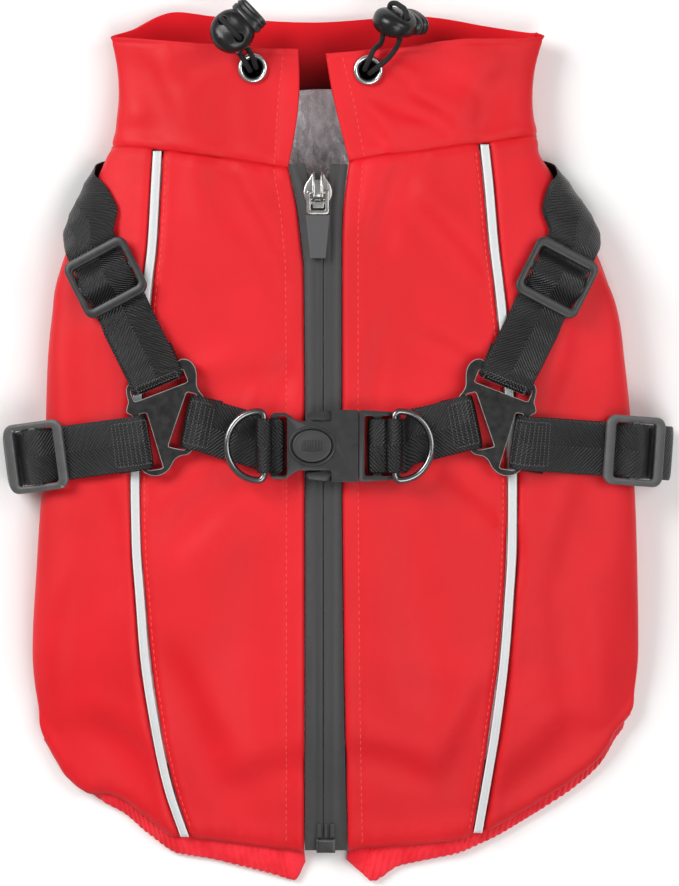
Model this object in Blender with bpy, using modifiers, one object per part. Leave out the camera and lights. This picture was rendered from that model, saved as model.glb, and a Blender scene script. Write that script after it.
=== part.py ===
"""Dog coat in softshell with a built-in harness, lying belly side down with its back zip up.

Lengths are millimetres in this file until a mesh is made, and +Y points to the neck.
The coat is a flattened tube: every panel is a stretch of one closed section that
changes along the coat, and the harness lies on that same surface.
"""

import math

import bmesh
import bpy
import numpy as np
from mathutils import Matrix, Vector

MM = 0.001

# Cloth
WALL = 1.4              # softshell
SEAM = 0.3              # gap between neighbouring pieces
FLEECE = 2.0            # lining
FACING = 1.2            # red inside of the collar
UNDER = 1.6             # the belly cloth lies on the webbing, this far above the table
EDGE_TURN = 12.0        # how far in from the silhouette the side turns under
BELLY_SEAM = 16.3       # belly seam, measured in from the silhouette
HALF_WIDTH = 95.0       # nominal, for measuring across the under layer
CROWN_POWER = 2.6       # how square the upper half of the section is
TUNNEL = 3.0            # room for the drawcord between collar and facing

# Webbing and hardware
WEB = 19.0              # width of the webbing
WEB_T = 1.3
BAR_T = 2.4             # thickness of the moulded bars
CORD_D = 1.9

TO_MIDDLE = (0.35, -0.31, 0.0)    # moves the coat so that its box stands on the origin

# Silhouette of the coat seen from above
SIDES = """
y       left    right
125     -80.0    69.6
104     -80.0    69.6
95      -83.8    74.5
80      -89.8    83.6
67      -94.9    90.4
50      -99.7    96.3
30     -101.7   100.1
0      -103.3   103.0
-40    -106.0   104.7
-72    -107.4   105.2
-96    -104.9   102.5
-103   -103.2   101.0
-160   -103.2   101.0
"""

# Edges of the two back panels along the zip
ZIP_EDGE = """
y       left    right
100     -18.3     3.7
94      -17.3     3.0
82      -14.9     1.6
71      -13.5     1.2
60      -12.5     1.2
0       -12.1     1.2
-80     -12.1     1.9
-145    -12.3     3.2
"""

# Piping in the seams between back and sides
PIPING = """
y       left    right
106     -63.4    50.8
90      -64.3    52.5
70      -65.4    54.2
50      -67.7    56.6
20      -70.3    59.4
-10     -71.4    60.7
-35     -71.0    60.6
-55     -69.6    59.5
-75     -68.1    58.0
-100    -64.4    55.0
-120    -60.3    51.8
-141    -53.4    48.2
"""

# Neck seam and hem of the upper layer, from the zip (across 0) to the silhouette (1)
NEAR_ENDS = """
across  neck_left neck_right hem_left hem_right rib_left rib_right
0.00    96.3      98.7      -144.2   -143.7     3.0       3.0
0.07    97.0      99.7      -143.4   -142.9    10.6       8.5
0.12    97.5     100.3      -142.9   -142.6     9.4      11.5
0.20    98.4     101.0      -141.9   -142.0     8.4       7.0
0.38   100.2     102.3      -139.9   -140.3     6.4       4.6
0.50   101.1     103.5      -139.0   -136.8     5.4       3.6
0.62   102.1     104.6      -131.4   -130.6     5.8       3.4
0.72   102.9     105.3      -125.0   -124.6     4.6       3.2
0.82   103.8     106.3      -122.0   -118.3     3.0       3.0
0.91   104.2     107.3      -116.2   -110.8     2.4       2.4
1.00   103.8     107.9      -103.0    -96.0     2.0       2.0
"""

# Neck seam and hem of the under layer, from the left silhouette (-1) to the right (1)
FAR_ENDS = """
across  neck    hem
-1.00   103.8  -103.0
-0.75   108.5   -93.0
-0.40   117.0   -72.0
0.00    121.3   -59.0
0.40    118.0   -70.0
0.75    111.5   -88.0
1.00    107.9   -96.0
"""

# Height of the section along the coat, from the neck seam (along 0) to the hem (1)
LOFT = """
along   crown   side
0.00    23.5    10.5
0.20    26.0    11.0
0.45    27.0    11.0
0.65    26.0    10.5
0.80    21.0     9.0
0.92    12.0     6.5
1.00     5.4     4.6
"""

# Top edge of the collar going round the neck: station 0 is its left front end, 1 to 2 the
# left side turn, 3 the middle of the throat, 4 to 5 the right side turn, 6 the right end
COLLAR_TOP = """
station x      y      z
0.00   -14.4   137.9   22.0
0.30   -34.0   138.6   21.6
0.70   -60.0   140.8   19.0
0.90   -75.0   141.9   14.5
1.00   -80.2   142.3   11.0
1.50   -73.0   145.0    5.5
2.00   -57.4   151.4    2.0
2.35   -41.8   149.6    1.6
3.00    -9.1   147.7    1.6
3.60    27.7   149.8    1.6
4.00    51.2   146.5    2.4
4.50    66.6   143.9    6.5
5.00    72.2   142.7   11.0
5.10    66.0   141.9   14.5
5.35    46.0   141.6   19.2
5.60    29.0   139.2   21.2
6.00    -4.6   136.2   22.4
"""


def table(text):
    """The columns of a small table as a dictionary of arrays"""
    rows = [line.split() for line in text.strip().splitlines()]
    numbers = np.array(rows[1:], float)
    return {name: numbers[:, i] for i, name in enumerate(rows[0])}


def smooth(xs, ys, x):
    """Cubic through the points that never overshoots them, held level past both ends"""
    order = np.argsort(xs)
    xs, ys = xs[order], ys[order]
    step = np.diff(xs)
    rise = np.diff(ys) / step
    mild = rise[:-1] * rise[1:] > 0
    mean = 2 * rise[:-1] * rise[1:] / np.where(mild, rise[:-1] + rise[1:], 1)
    slope = np.concatenate([rise[:1], np.where(mild, mean, 0), rise[-1:]])
    x = np.clip(x, xs[0], xs[-1])
    i = np.clip(np.searchsorted(xs, x) - 1, 0, len(step) - 1)
    t = (x - xs[i]) / step[i]
    level = ys[i] + (ys[i + 1] - ys[i]) * t * t * (3 - 2 * t)
    pull = slope[i] * (t - 2 * t**2 + t**3) + slope[i + 1] * (t**3 - t**2)
    return level + pull * step[i]


SIDES = table(SIDES)
ZIP_EDGE = table(ZIP_EDGE)
PIPING = table(PIPING)
NEAR_ENDS = table(NEAR_ENDS)
FAR_ENDS = table(FAR_ENDS)
LOFT = table(LOFT)
COLLAR_TOP = table(COLLAR_TOP)
HANDS = ("left", "right")


def out(hand):
    """Direction from the zip to this side of the coat"""
    return -1 if hand == "left" else 1


# ---------------------------------------------------------------- the coat's surface


def side_x(hand, y):
    return smooth(SIDES["y"], SIDES[hand], y)


def zip_x(hand, y):
    return smooth(ZIP_EDGE["y"], ZIP_EDGE[hand], y)


def across_of(hand, x, y):
    """0 at the zip edge, 1 at the silhouette"""
    inner = zip_x(hand, y)
    return (x - inner) / (side_x(hand, y) - inner)


def near_end(name, hand, across):
    return smooth(NEAR_ENDS["across"], NEAR_ENDS[name + "_" + hand], across)


def along_of(hand, x, y):
    """0 at the neck seam, 1 at the hem"""
    across = np.clip(across_of(hand, x, y), 0, 1)
    neck = near_end("neck", hand, across)
    return np.clip((neck - y) / (neck - near_end("hem", hand, across)), 0, 1)


def crown(x, y, along):
    """Height of the upper layer: a flattened oval between its two silhouettes"""
    left, right = side_x("left", y), side_x("right", y)
    offset = np.clip(np.abs(2 * x - left - right) / (right - left), 0, 1)
    side = smooth(LOFT["along"], LOFT["side"], along)
    top = smooth(LOFT["along"], LOFT["crown"], along)
    return side + (top - side) * (1 - offset**CROWN_POWER) ** (1 / CROWN_POWER)


def top_z(hand, x, y):
    """Outer height of the upper layer over a point of the plan"""
    return crown(x, y, along_of(hand, x, y))


def near_point(hand, across, along):
    """A point of the upper layer's outer face"""
    neck = near_end("neck", hand, across)
    y = neck + (near_end("hem", hand, across) - neck) * along
    x = zip_x(hand, y) + (side_x(hand, y) - zip_x(hand, y)) * across
    return np.stack([x, y, crown(x, y, along)], -1)


def far_y(across, along):
    neck = smooth(FAR_ENDS["across"], FAR_ENDS["neck"], across)
    return neck + (smooth(FAR_ENDS["across"], FAR_ENDS["hem"], across) - neck) * along


def under_point(hand, inward, height, along):
    """A point this far in from the silhouette, at a share of the side's height above UNDER"""
    y = far_y(out(hand) * (1 - inward / HALF_WIDTH), along)
    side = smooth(LOFT["along"], LOFT["side"], along)
    return np.stack([side_x(hand, y) - out(hand) * inward, y, UNDER + (side - UNDER) * height], -1)


def turn_point(hand, angle, along):
    """A point of the side edge that turns under, angle 0 at the silhouette and 90 below"""
    return under_point(hand, EDGE_TURN * (1 - np.cos(angle)), 1 - np.sin(angle), along)


def belly_point(part, along):
    """A point of the belly's outer face, part 0 at the left seam and 1 at the right"""
    across = (1 - BELLY_SEAM / HALF_WIDTH) * (2 * part - 1)
    y = far_y(across, along)
    left = side_x("left", y) + BELLY_SEAM
    right = side_x("right", y) - BELLY_SEAM
    return np.stack([left + (right - left) * part, y, np.full_like(y, UNDER)], -1)


# ---------------------------------------------------------------- mesh making

for old in list(bpy.data.objects):
    bpy.data.objects.remove(old)
COAT = bpy.data.collections.new("dog_coat")
CUTTERS = bpy.data.collections.new("cutters")
bpy.context.scene.collection.children.link(COAT)
bpy.context.scene.collection.children.link(CUTTERS)


def material(name, colour, roughness, metallic=0.0):
    made = bpy.data.materials.new(name)
    made.use_nodes = True
    shader = made.node_tree.nodes["Principled BSDF"]
    shader.inputs["Base Color"].default_value = (*colour, 1)
    shader.inputs["Roughness"].default_value = roughness
    shader.inputs["Metallic"].default_value = metallic
    made.diffuse_color = (*colour, 1)
    return made


RED = material("softshell_red", (0.82, 0.03, 0.04), 0.6)
KNIT = material("rib_knit_red", (0.84, 0.04, 0.05), 0.85)
GREY_FLEECE = material("fleece_grey", (0.24, 0.22, 0.24), 0.95)
REFLECTIVE = material("reflective_piping", (0.68, 0.71, 0.72), 0.35)
TAPE = material("zip_tape_grey", (0.085, 0.085, 0.088), 0.5)
METAL = material("zip_metal", (0.7, 0.68, 0.64), 0.28, 1.0)
RUBBER = material("pull_rubber", (0.11, 0.11, 0.115), 0.6)
NICKEL = material("eyelet_nickel", (0.8, 0.8, 0.8), 0.15, 1.0)
GUNMETAL = material("ring_gunmetal", (0.3, 0.3, 0.31), 0.25, 1.0)
WEBBING = material("webbing_black", (0.014, 0.014, 0.015), 0.7)
MOULDED = material("moulded_black", (0.03, 0.031, 0.033), 0.45)
ELASTIC = material("cord_black", (0.02, 0.02, 0.02), 0.7)


def node(name, data, finish, home=None):
    made = bpy.data.objects.new(name, data)
    (home or COAT).objects.link(made)
    data.materials.append(finish)
    return made


def mesh(name, points, faces):
    made = bpy.data.meshes.new(name)
    made.from_pydata((np.asarray(points, float) * MM).tolist(), [], faces)
    made.update()
    return made


def closed(name, points, faces):
    """A mesh whose faces are turned to point out of the body"""
    made = mesh(name, points, faces)
    shape = bmesh.new()
    shape.from_mesh(made)
    bmesh.ops.recalc_face_normals(shape, faces=shape.faces[:])
    shape.to_mesh(made)
    shape.free()
    return made


def face_normals(grid):
    """Unit normals of a grid of points, along its first side crossed with its second"""
    normal = np.cross(np.gradient(grid, axis=0), np.gradient(grid, axis=1))
    return normal / np.linalg.norm(normal, axis=-1, keepdims=True)


def outward(grid):
    """Normals of a cloth grid, turned away from the middle of the tube"""
    normal = face_normals(grid)
    middle = np.array([-1.0, 0.0, 10.0])
    away = (grid - middle) * [1, 0, 6]
    return normal if (normal * away).sum() > 0 else -normal


def cloth(name, grid, finish, thickness=WALL):
    """A cloth panel: its outer face is the grid, and Solidify gives it its wall inwards"""
    rows, columns = grid.shape[:2]
    number = np.arange(rows * columns).reshape(rows, columns)
    quads = np.stack([number[:-1, :-1], number[1:, :-1], number[1:, 1:], number[:-1, 1:]], -1)
    if (face_normals(grid) * outward(grid)).sum() < 0:
        quads = quads[..., ::-1]
    panel = node(name, mesh(name, grid.reshape(-1, 3), quads.reshape(-1, 4).tolist()), finish)
    panel.data.shade_smooth()
    wall = panel.modifiers.new("wall", "SOLIDIFY")
    wall.thickness = thickness * MM
    wall.offset = -1
    return panel


def loft(name, loops, finish, home=None):
    """A closed body through sections of equally many points, capped at both ends"""
    loops = np.asarray(loops, float)
    count, size = loops.shape[:2]
    ring = np.arange(size)
    faces = []
    for i in range(count - 1):
        here, there = ring + i * size, ring + (i + 1) * size
        quads = np.stack([here, np.roll(here, -1), np.roll(there, -1), there], -1)
        faces += quads.tolist()
    faces += [ring.tolist(), (ring + (count - 1) * size).tolist()]
    return node(name, closed(name, loops.reshape(-1, 3), faces), finish, home)


def ribbon(name, rows, finish, thickness=WEB_T):
    """A strap: rows of points across its middle surface, given its thickness"""
    rows = np.asarray(rows, float)
    half = face_normals(rows) * thickness / 2
    return loft(name, np.concatenate([rows + half, (rows - half)[:, ::-1]], 1), finish)


def frame(origin, along, across):
    """Placement with local X along a piece, local Y across it and local Z off the cloth"""
    along = Vector(along).normalized()
    normal = along.cross(Vector(across)).normalized()
    across = normal.cross(along)
    turned = Matrix((along, across, normal)).transposed().to_4x4()
    return Matrix.Translation(Vector(origin) * MM) @ turned


def rounded(length, width, radius, centre=(0, 0), corner=4):
    """Corner-rounded rectangle, as points"""
    points = []
    for quarter in range(4):
        angles = (quarter + np.linspace(0, 1, corner)) * math.pi / 2
        sign = np.array([(1, 1), (-1, 1), (-1, -1), (1, -1)][quarter])
        middle = sign * (length / 2 - radius, width / 2 - radius) + centre
        points += [middle + radius * np.array((math.cos(a), math.sin(a))) for a in angles]
    return np.array(points)


def flat(name, outlines, thickness, finish, place):
    """A flat moulded piece: outlines with their windows, extruded about their own plane"""
    data = bpy.data.curves.new(name, "CURVE")
    data.dimensions = "2D"
    data.fill_mode = "BOTH"
    data.extrude = thickness / 2 * MM
    for outline in outlines:
        spline = data.splines.new("POLY")
        spline.points.add(len(outline) - 1)
        spline.use_cyclic_u = True
        for point, (x, y) in zip(spline.points, outline):
            point.co = (x * MM, y * MM, 0, 1)
    made = node(name, data, finish)
    made.matrix_world = place
    return made


def prism(name, outline, low, high, finish, place=None, home=None):
    """A solid between two heights over one outline"""
    shape = bmesh.new()
    base = shape.faces.new([shape.verts.new((x * MM, y * MM, low * MM)) for x, y in outline])
    grown = bmesh.ops.extrude_face_region(shape, geom=[base])["geom"]
    top = [item for item in grown if isinstance(item, bmesh.types.BMVert)]
    bmesh.ops.translate(shape, vec=(0, 0, (high - low) * MM), verts=top)
    bmesh.ops.recalc_face_normals(shape, faces=shape.faces[:])
    data = bpy.data.meshes.new(name)
    shape.to_mesh(data)
    shape.free()
    made = node(name, data, finish, home)
    if place:
        made.matrix_world = place
    return made


def cut(body, tool):
    tool.hide_render = True
    tool.display_type = "WIRE"
    hole = body.modifiers.new("cut_" + tool.name, "BOOLEAN")
    hole.operation = "DIFFERENCE"
    hole.object = tool


def tool_prism(name, outline, low, high, place=None):
    return prism(name, outline, low, high, MOULDED, place, CUTTERS)


def join(body, tool):
    tool.hide_render = True
    tool.display_type = "WIRE"
    union = body.modifiers.new("join_" + tool.name, "BOOLEAN")
    union.operation = "UNION"
    union.object = tool


def bevel(body, width, segments=1):
    edge = body.modifiers.new("bevel", "BEVEL")
    edge.width = width * MM
    edge.segments = segments
    edge.limit_method = "ANGLE"


def oval(length, width, count=24, centre=(0, 0)):
    angle = np.arange(count) * 2 * math.pi / count
    return np.stack([centre[0] + length / 2 * np.cos(angle),
                     centre[1] + width / 2 * np.sin(angle)], -1)


# ---------------------------------------------------------------- shell panels

ALONG = np.concatenate([np.linspace(0, 0.72, 9), [0.8, 0.87, 0.935, 1]])
PIPE_SLOT = 1.9         # half the width that the piping takes between two panels


def pipe_across(hand, along, shift):
    """Where the piping seam lies on the upper layer, moved by shift towards the side"""
    across = np.full_like(along, 0.6)
    for _ in range(6):
        y = near_point(hand, across, along)[..., 1]
        x = smooth(PIPING["y"], PIPING[hand], y) + out(hand) * shift
        across = across_of(hand, x, y)
    return across


def back_panel(hand):
    along = ALONG[:, None]
    outer = pipe_across(hand, along, -PIPE_SLOT)
    grid = near_point(hand, outer * np.linspace(0, 1, 9), along + 0 * outer)
    cloth("back_" + hand, grid, RED)


def side_panel(hand):
    along = ALONG[:, None]
    inner = pipe_across(hand, along, PIPE_SLOT)
    spread = np.array([0, 0.3, 0.55, 0.75, 0.88, 0.96, 1.0])
    upper = near_point(hand, inner + (1 - inner) * spread, along + 0 * inner)
    angle = np.radians([18, 36, 54, 72, 90])
    turn = turn_point(hand, angle[None, :], along)
    seam = under_point(hand, BELLY_SEAM - SEAM, 0.0, along)
    cloth("side_" + hand, np.concatenate([upper, turn, seam], 1), RED)


BELLY_PARTS = np.linspace(0, 1, 13)
LEG = {"x": 50.0, "y": 40.0, "width": 42.0, "length": 52.0, "binding": 5.0, "tall": 4.6}


def belly():
    part, along = np.meshgrid(BELLY_PARTS, ALONG)
    panel = cloth("belly", belly_point(part, along), RED)
    for hand in HANDS:
        hole = oval(LEG["width"], LEG["length"], 24, (out(hand) * LEG["x"], LEG["y"]))
        cut(panel, tool_prism("leg_cut_" + hand, hole, -5, 5))


def leg_binding(hand):
    """Turned elastic edge of a leg hole, a flat ring inside the hole's edge"""
    centre = (out(hand) * LEG["x"], LEG["y"])
    outer = oval(LEG["width"] - 2 * SEAM, LEG["length"] - 2 * SEAM, 24, centre)
    inner = oval(LEG["width"] - LEG["binding"], LEG["length"] - LEG["binding"], 24, centre)
    middle = Matrix.Translation(Vector((0, 0, UNDER - 0.6 + LEG["tall"] / 2)) * MM)
    flat("leg_binding_" + hand, [outer, inner], LEG["tall"], RED, middle)


# ---------------------------------------------------------------- lining

def ring_grid(columns, along):
    """The whole section from the left zip edge round the belly to the right zip edge"""
    near = np.array([0, 0.3, 0.55, 0.75, 0.88, 0.96, 1.0])
    angle = np.radians([30, 60, 90])
    part = np.linspace(0, 1, columns)
    along = along[:, None]
    left = near_point("left", near[None, :], along)
    right = near_point("right", near[None, ::-1], along)
    left_turn = turn_point("left", angle[None, :], along)
    right_turn = turn_point("right", angle[None, ::-1], along)
    under = belly_point(part[None, :], along)
    return np.concatenate([left, left_turn, under, right_turn, right], 1)


LINING_ENDS = (0.012, 0.90)


def lining():
    grid = ring_grid(5, np.linspace(*LINING_ENDS, 9))
    inner = grid - outward(grid) * (WALL + 3 * SEAM)
    panel = cloth("lining", inner, GREY_FLEECE, FLEECE)
    for hand in HANDS:
        hole = oval(LEG["width"], LEG["length"], 24, (out(hand) * LEG["x"], LEG["y"]))
        cut(panel, tool_prism("lining_cut_" + hand, hole, -5, 8))


# ---------------------------------------------------------------- collar

COLLAR_STATIONS = np.array([0, 0.15, 0.3, 0.5, 0.7, 0.82, 0.92, 1.0, 1.25, 1.5, 1.75, 2.0,
                            2.33, 2.67, 3.0, 3.33, 3.67, 4.0, 4.25, 4.5, 4.75, 5.0,
                            5.08, 5.18, 5.3, 5.5, 5.7, 5.85, 6.0])
COLLAR_UP = np.array([0, 0.12, 0.3, 0.5, 0.68, 0.84, 1.0])
WAIST = 3.2             # how far the collar's ends pinch in between seam and top edge
SLIT_BOW = {"left": 1.7, "right": 0.6}        # how far its front ends bow into the slit
BOW_REACH = 0.14        # stations over which the bow fades


def neck_seam(station):
    """The edge of the body that the collar is sewn to"""
    point = []
    for s in station:
        if s <= 1:
            point.append(near_point("left", np.array(s), np.array(0.0)))
        elif s < 2:
            point.append(turn_point("left", np.radians(90 * (s - 1)), np.array(0.0)))
        elif s <= 4:
            point.append(belly_point(np.array((s - 2) / 2), np.array(0.0)))
        elif s < 5:
            point.append(turn_point("right", np.radians(90 * (5 - s)), np.array(0.0)))
        else:
            point.append(near_point("right", np.array(6 - s), np.array(0.0)))
    return np.array(point)


def slit_bow(station):
    """How far each front end of the collar bows into the neck slit half way up it"""
    left = SLIT_BOW["left"] * np.exp(-(station / BOW_REACH) ** 2)
    return left - SLIT_BOW["right"] * np.exp(-((6 - station) / BOW_REACH) ** 2)


def collar_grid(up):
    """Outer face of the stand collar from the neck seam (up 0) to its top edge (up 1)"""
    seam = neck_seam(COLLAR_STATIONS) + [0, 2 * SEAM, 0]
    top = [smooth(COLLAR_TOP["station"], COLLAR_TOP[k], COLLAR_STATIONS) for k in "xyz"]
    top = np.stack(top, -1)
    grid = seam[None] + (top - seam)[None] * up[:, None, None]
    ends = np.clip((np.abs(grid[..., 0] + 5) - 45) / 35, 0, 1)
    grid[..., 0] -= np.sign(grid[..., 0] + 5) * ends * WAIST * 4 * (up * (1 - up))[:, None]
    grid[..., 0] += slit_bow(COLLAR_STATIONS) * np.sin(math.pi * up**1.2)[:, None]
    return grid


def collar():
    grid = collar_grid(COLLAR_UP)
    inward = -outward(grid)
    wall = cloth("collar_outer", grid, RED)
    for hand in HANDS:
        place = eyelet_place(hand)
        cut(wall, tool_prism("eyelet_cut_" + hand, oval(8.9, 8.9, 20), -6, 4, place))
    room = TUNNEL * np.exp(-((COLLAR_UP - 0.78) / 0.16) ** 2)
    room[-1] = 0
    near = np.clip(np.abs(COLLAR_STATIONS - 3) - 2.05, 0, 0.12) / 0.12
    depth = WALL + 2.6 * SEAM + room[:, None] * near[None, :]
    cloth("collar_facing", (grid + inward * depth[..., None])[1:], RED, FACING)


# ---------------------------------------------------------------- hem ribs

RIB_PITCH = 2.35
RIB_RISE = 0.55
RIB_TUCK = 4.0          # how far the band goes in under the cloth
RIB_T = 2.4


def hem_rib(hand):
    """Ribbed knit band: ribs stand on its outer face, and its inside is plain"""
    fine = np.linspace(0.003, 0.93, 400)
    hem = near_point(hand, fine, np.ones_like(fine))
    run = np.concatenate([[0], np.cumsum(np.linalg.norm(np.diff(hem[:, :2], axis=0), axis=1))])
    count = int(run[-1] / RIB_PITCH * 2)
    at = np.interp(np.linspace(0, run[-1], count), run, fine)
    loops = []
    for i, across in enumerate(at):
        x, y, _ = near_point(hand, across, np.array(1.0))
        reach = near_end("rib", hand, across)
        rib = RIB_RISE if i % 2 else 0.0
        slant = -out(hand) * 2.2 * reach / 9
        tuck = RIB_TUCK if i else 3.0
        loops.append([
            (x, y + tuck, 0.9),
            (x + slant, y - reach + 0.8, 0.0),
            (x + slant, y - reach, 1.1),
            (x + slant * 0.9, y - reach + 0.8, RIB_T - 0.5 + rib),
            (x, y - 0.4, 2.9 + rib * 0.6),
            (x, y + tuck, 3.4),
        ])
    loft("hem_rib_" + hand, loops, KNIT)


def hem_rib_belly():
    """The same band on the far side, plain where it is hidden"""
    edge = belly_point(BELLY_PARTS, np.ones_like(BELLY_PARTS))
    xs = np.linspace(edge[1, 0], edge[-2, 0], 25)
    loops = []
    for x, y in zip(xs, np.interp(xs, edge[:, 0], edge[:, 1])):
        loops.append([(x, y - SEAM, 0.4), (x, y - SEAM, 3.6), (x, y - 7.5, 2.9), (x, y - 8.5, 1.4),
                      (x, y - 7.5, 0.0)])
    loft("hem_rib_belly", loops, KNIT)


# ---------------------------------------------------------------- piping

PIPE_W = 3.0
PIPE_PROUD = 0.7


def piping(hand):
    along = np.clip(ALONG, 0.004, 0.997)
    across = pipe_across(hand, along, 0)
    middle = near_point(hand, across, along)
    loops = []
    for x, y, z in middle:
        half = PIPE_W / 2
        loops.append([(x - half, y, z - 1.2), (x - half, y, z + 0.3), (x - half * 0.6, y, z + PIPE_PROUD),
                      (x + half * 0.6, y, z + PIPE_PROUD), (x + half, y, z + 0.3),
                      (x + half, y, z - 1.2)])
    loft("piping_" + hand, loops, REFLECTIVE)


# ---------------------------------------------------------------- zip

ZIP_X = -5.5            # where the closed teeth meet
TAPE_T = 1.3
SLIDER = {"x": -7.4, "y": 88.9, "width": 10.3, "length": 11.6, "body": 2.4, "bridge": 3.4}
V_FOOT = 82.0           # the tapes part above this
PULL = {"frame_w": 7.6, "frame_l": 8.6, "wire": 1.3, "tab_w": 8.6, "tab_end": 5.6,
        "tab_l": 15.2, "tab_t": 2.2, "droop": 4.5}


def tape_inner(hand, y):
    """Edge of a tape beside the teeth: straight when closed, apart above the slider"""
    open_by = np.clip((y - V_FOOT) / 14.0, 0, 1) * (4.6 if hand == "left" else 3.6)
    return ZIP_X + out(hand) * (0.2 + open_by) - np.clip((y - V_FOOT) / 14.0, 0, 1) * 1.6


def zip_height(y):
    """Height of the two tapes, a little below the cloth beside them"""
    return top_z("left", zip_x("left", y), y) - 0.3


def zip_tape(hand):
    ys = np.concatenate([np.linspace(97.5, 70, 9), np.linspace(60, -95, 10),
                         np.linspace(-105, -143.4, 6)])
    loops = []
    for y in ys:
        outer = zip_x(hand, y) - out(hand) * SEAM
        inner = tape_inner(hand, y)
        z = zip_height(y)
        loops.append([(outer, y, z), (inner, y, z + 0.25), (inner, y, z - TAPE_T), (outer, y, z - TAPE_T)])
    loft("zip_tape_" + hand, loops, TAPE)


def slope_frame(x, y, lift):
    """Frame on the zip line with local X to the right and local Y up the coat"""
    rise = (zip_height(y + 4) - zip_height(y - 4)) / 8
    return frame((x, y, zip_height(y) + lift), (1, 0, 0), (0, 1, rise))


def slider():
    place = slope_frame(SLIDER["x"], SLIDER["y"], 0.55)
    half, length = SLIDER["width"] / 2, SLIDER["length"] / 2
    shield = [(-half * 0.55, length), (-half * 0.9, length * 0.75), (-half, length * 0.3),
              (-half * 0.92, -length * 0.6), (-half * 0.6, -length), (half * 0.6, -length),
              (half * 0.92, -length * 0.6), (half, length * 0.3), (half * 0.9, length * 0.75),
              (half * 0.55, length)]
    body = prism("zip_slider", shield, 0, SLIDER["body"], METAL, place)
    top = SLIDER["body"] + SLIDER["bridge"]
    bridge = [(-4.4, 1.8), (-4.4, 3.2), (-3.2, top), (2.6, top), (4.4, 3.2), (4.4, 1.8)]
    loops = [[(x, y, z) for y, z in bridge] for x in (-1.7, 1.7)]
    arch = loft("slider_bridge", loops, METAL, CUTTERS)
    arch.matrix_world = place
    join(body, arch)
    eye = [(-2.6, SLIDER["body"] + 0.01), (2.0, SLIDER["body"] + 0.01), (2.0, top - 1.0), (-2.6, top - 1.0)]
    loops = [[(x, y, z) for y, z in eye] for x in (-4, 4)]
    hole = loft("slider_eye", loops, METAL, CUTTERS)
    hole.matrix_world = place
    cut(body, hole)


def pull_place():
    """The pull's own frame: its hinge bar lies along local X inside the slider's bridge"""
    base = slope_frame(SLIDER["x"], SLIDER["y"], 0.55)
    lift = SLIDER["body"] + 1.3
    turn = Matrix.Rotation(math.radians(PULL["droop"]), 4, "X")
    return base @ Matrix.Translation(Vector((0, -0.6, lift)) * MM) @ turn


def pull():
    place = pull_place()
    wire = PULL["wire"]
    outline = rounded(PULL["frame_w"], PULL["frame_l"], 1.4, (0, -PULL["frame_l"] / 2 + wire / 2))
    window = rounded(PULL["frame_w"] - 2 * wire, PULL["frame_l"] - 3.4, 0.6,
                     (0, -PULL["frame_l"] / 2 + wire / 2 + 0.6), 3)
    flat("zip_pull_frame", [outline, window], 1.0, METAL, place)
    top = -PULL["frame_l"] + wire / 2 - 0.3
    end = top - PULL["tab_l"]
    wide, narrow = PULL["tab_w"] / 2, PULL["tab_end"] / 2
    tab = [(-wide + 0.8, top), (-wide, top - 0.9), (-narrow, end + 1.0), (-narrow + 0.9, end),
           (narrow - 0.9, end), (narrow, end + 1.0), (wide, top - 0.9), (wide - 0.8, top)]
    rubber = prism("zip_pull_tab", tab, -1.0, PULL["tab_t"] - 1.0, RUBBER, place)
    bevel(rubber, 0.35)


def zip_box():
    place = slope_frame(-4.6, -141.2, 0.45)
    prism("zip_box", rounded(7.3, 4.4, 0.8, corner=3), 0, 2.0, TAPE, place)


# ---------------------------------------------------------------- drawcord of the collar

EYELETS = {"left": (-30.2, 131.0), "right": (10.2, 130.3)}
EYELET = {"flange": 10.5, "barrel": 8.2, "hole": 7.0, "proud": 0.8}
LOCK = {"width": 15.8, "depth": 10.2, "hole": 2.8, "spread": 4.4, "arch": 1.1}
PLUNGER = {"long": 11.4, "high": 6.8, "out": 5.4, "travel": 3.0, "from": 5.6}
LOCKS = {
    "left": {"at": (-37.2, 143.6, 31.6), "axis": (-0.16, 0.2, 0.96), "pair": (0.68, -0.72, 0.25)},
    "right": {"at": (19.6, 146.9, 25.4), "axis": (0.26, 0.9, 0.36), "pair": (0.62, -0.28, 0.66)},
}


def collar_height(x, y):
    """Outer height of the upper half of the collar over a point of the plan"""
    grid = collar_grid(COLLAR_UP).reshape(-1, 3)
    grid = grid[grid[:, 2] > 12]
    distance = np.hypot(grid[:, 0] - x, grid[:, 1] - y)
    nearest = np.argsort(distance)[:4]
    weight = 1 / (distance[nearest] + 0.1)
    return float((grid[nearest, 2] * weight).sum() / weight.sum())


def eyelet_place(hand):
    x, y = EYELETS[hand]
    return frame((x, y, collar_height(x, y)), (1, 0, 0), (0, 1, 0))


def eyelet(hand):
    """Rolled eyelet: a turned flange on the cloth and a barrel through it"""
    flange, barrel, hole = (EYELET[k] / 2 for k in ("flange", "barrel", "hole"))
    proud = EYELET["proud"]
    profile = [(flange, SEAM), (barrel, SEAM), (barrel, -WALL - 0.2), (hole, -WALL - 0.2),
               (hole, proud * 0.6), (hole + 0.5, proud + 0.3), (flange - 0.5, proud + 0.3), (flange, proud)]
    count = len(profile)
    edges = [(k, (k + 1) % count) for k in range(count)]
    data = bpy.data.meshes.new("eyelet_" + hand)
    data.from_pydata([(r * MM, 0, z * MM) for r, z in profile], edges, [])
    ring = node("eyelet_" + hand, data, NICKEL)
    ring.matrix_world = eyelet_place(hand)
    turn = ring.modifiers.new("turned", "SCREW")
    turn.steps = 20
    turn.render_steps = 20
    turn.use_merge_vertices = True
    turn.merge_threshold = 0.00001
    turn.use_normal_calculate = True


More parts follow.
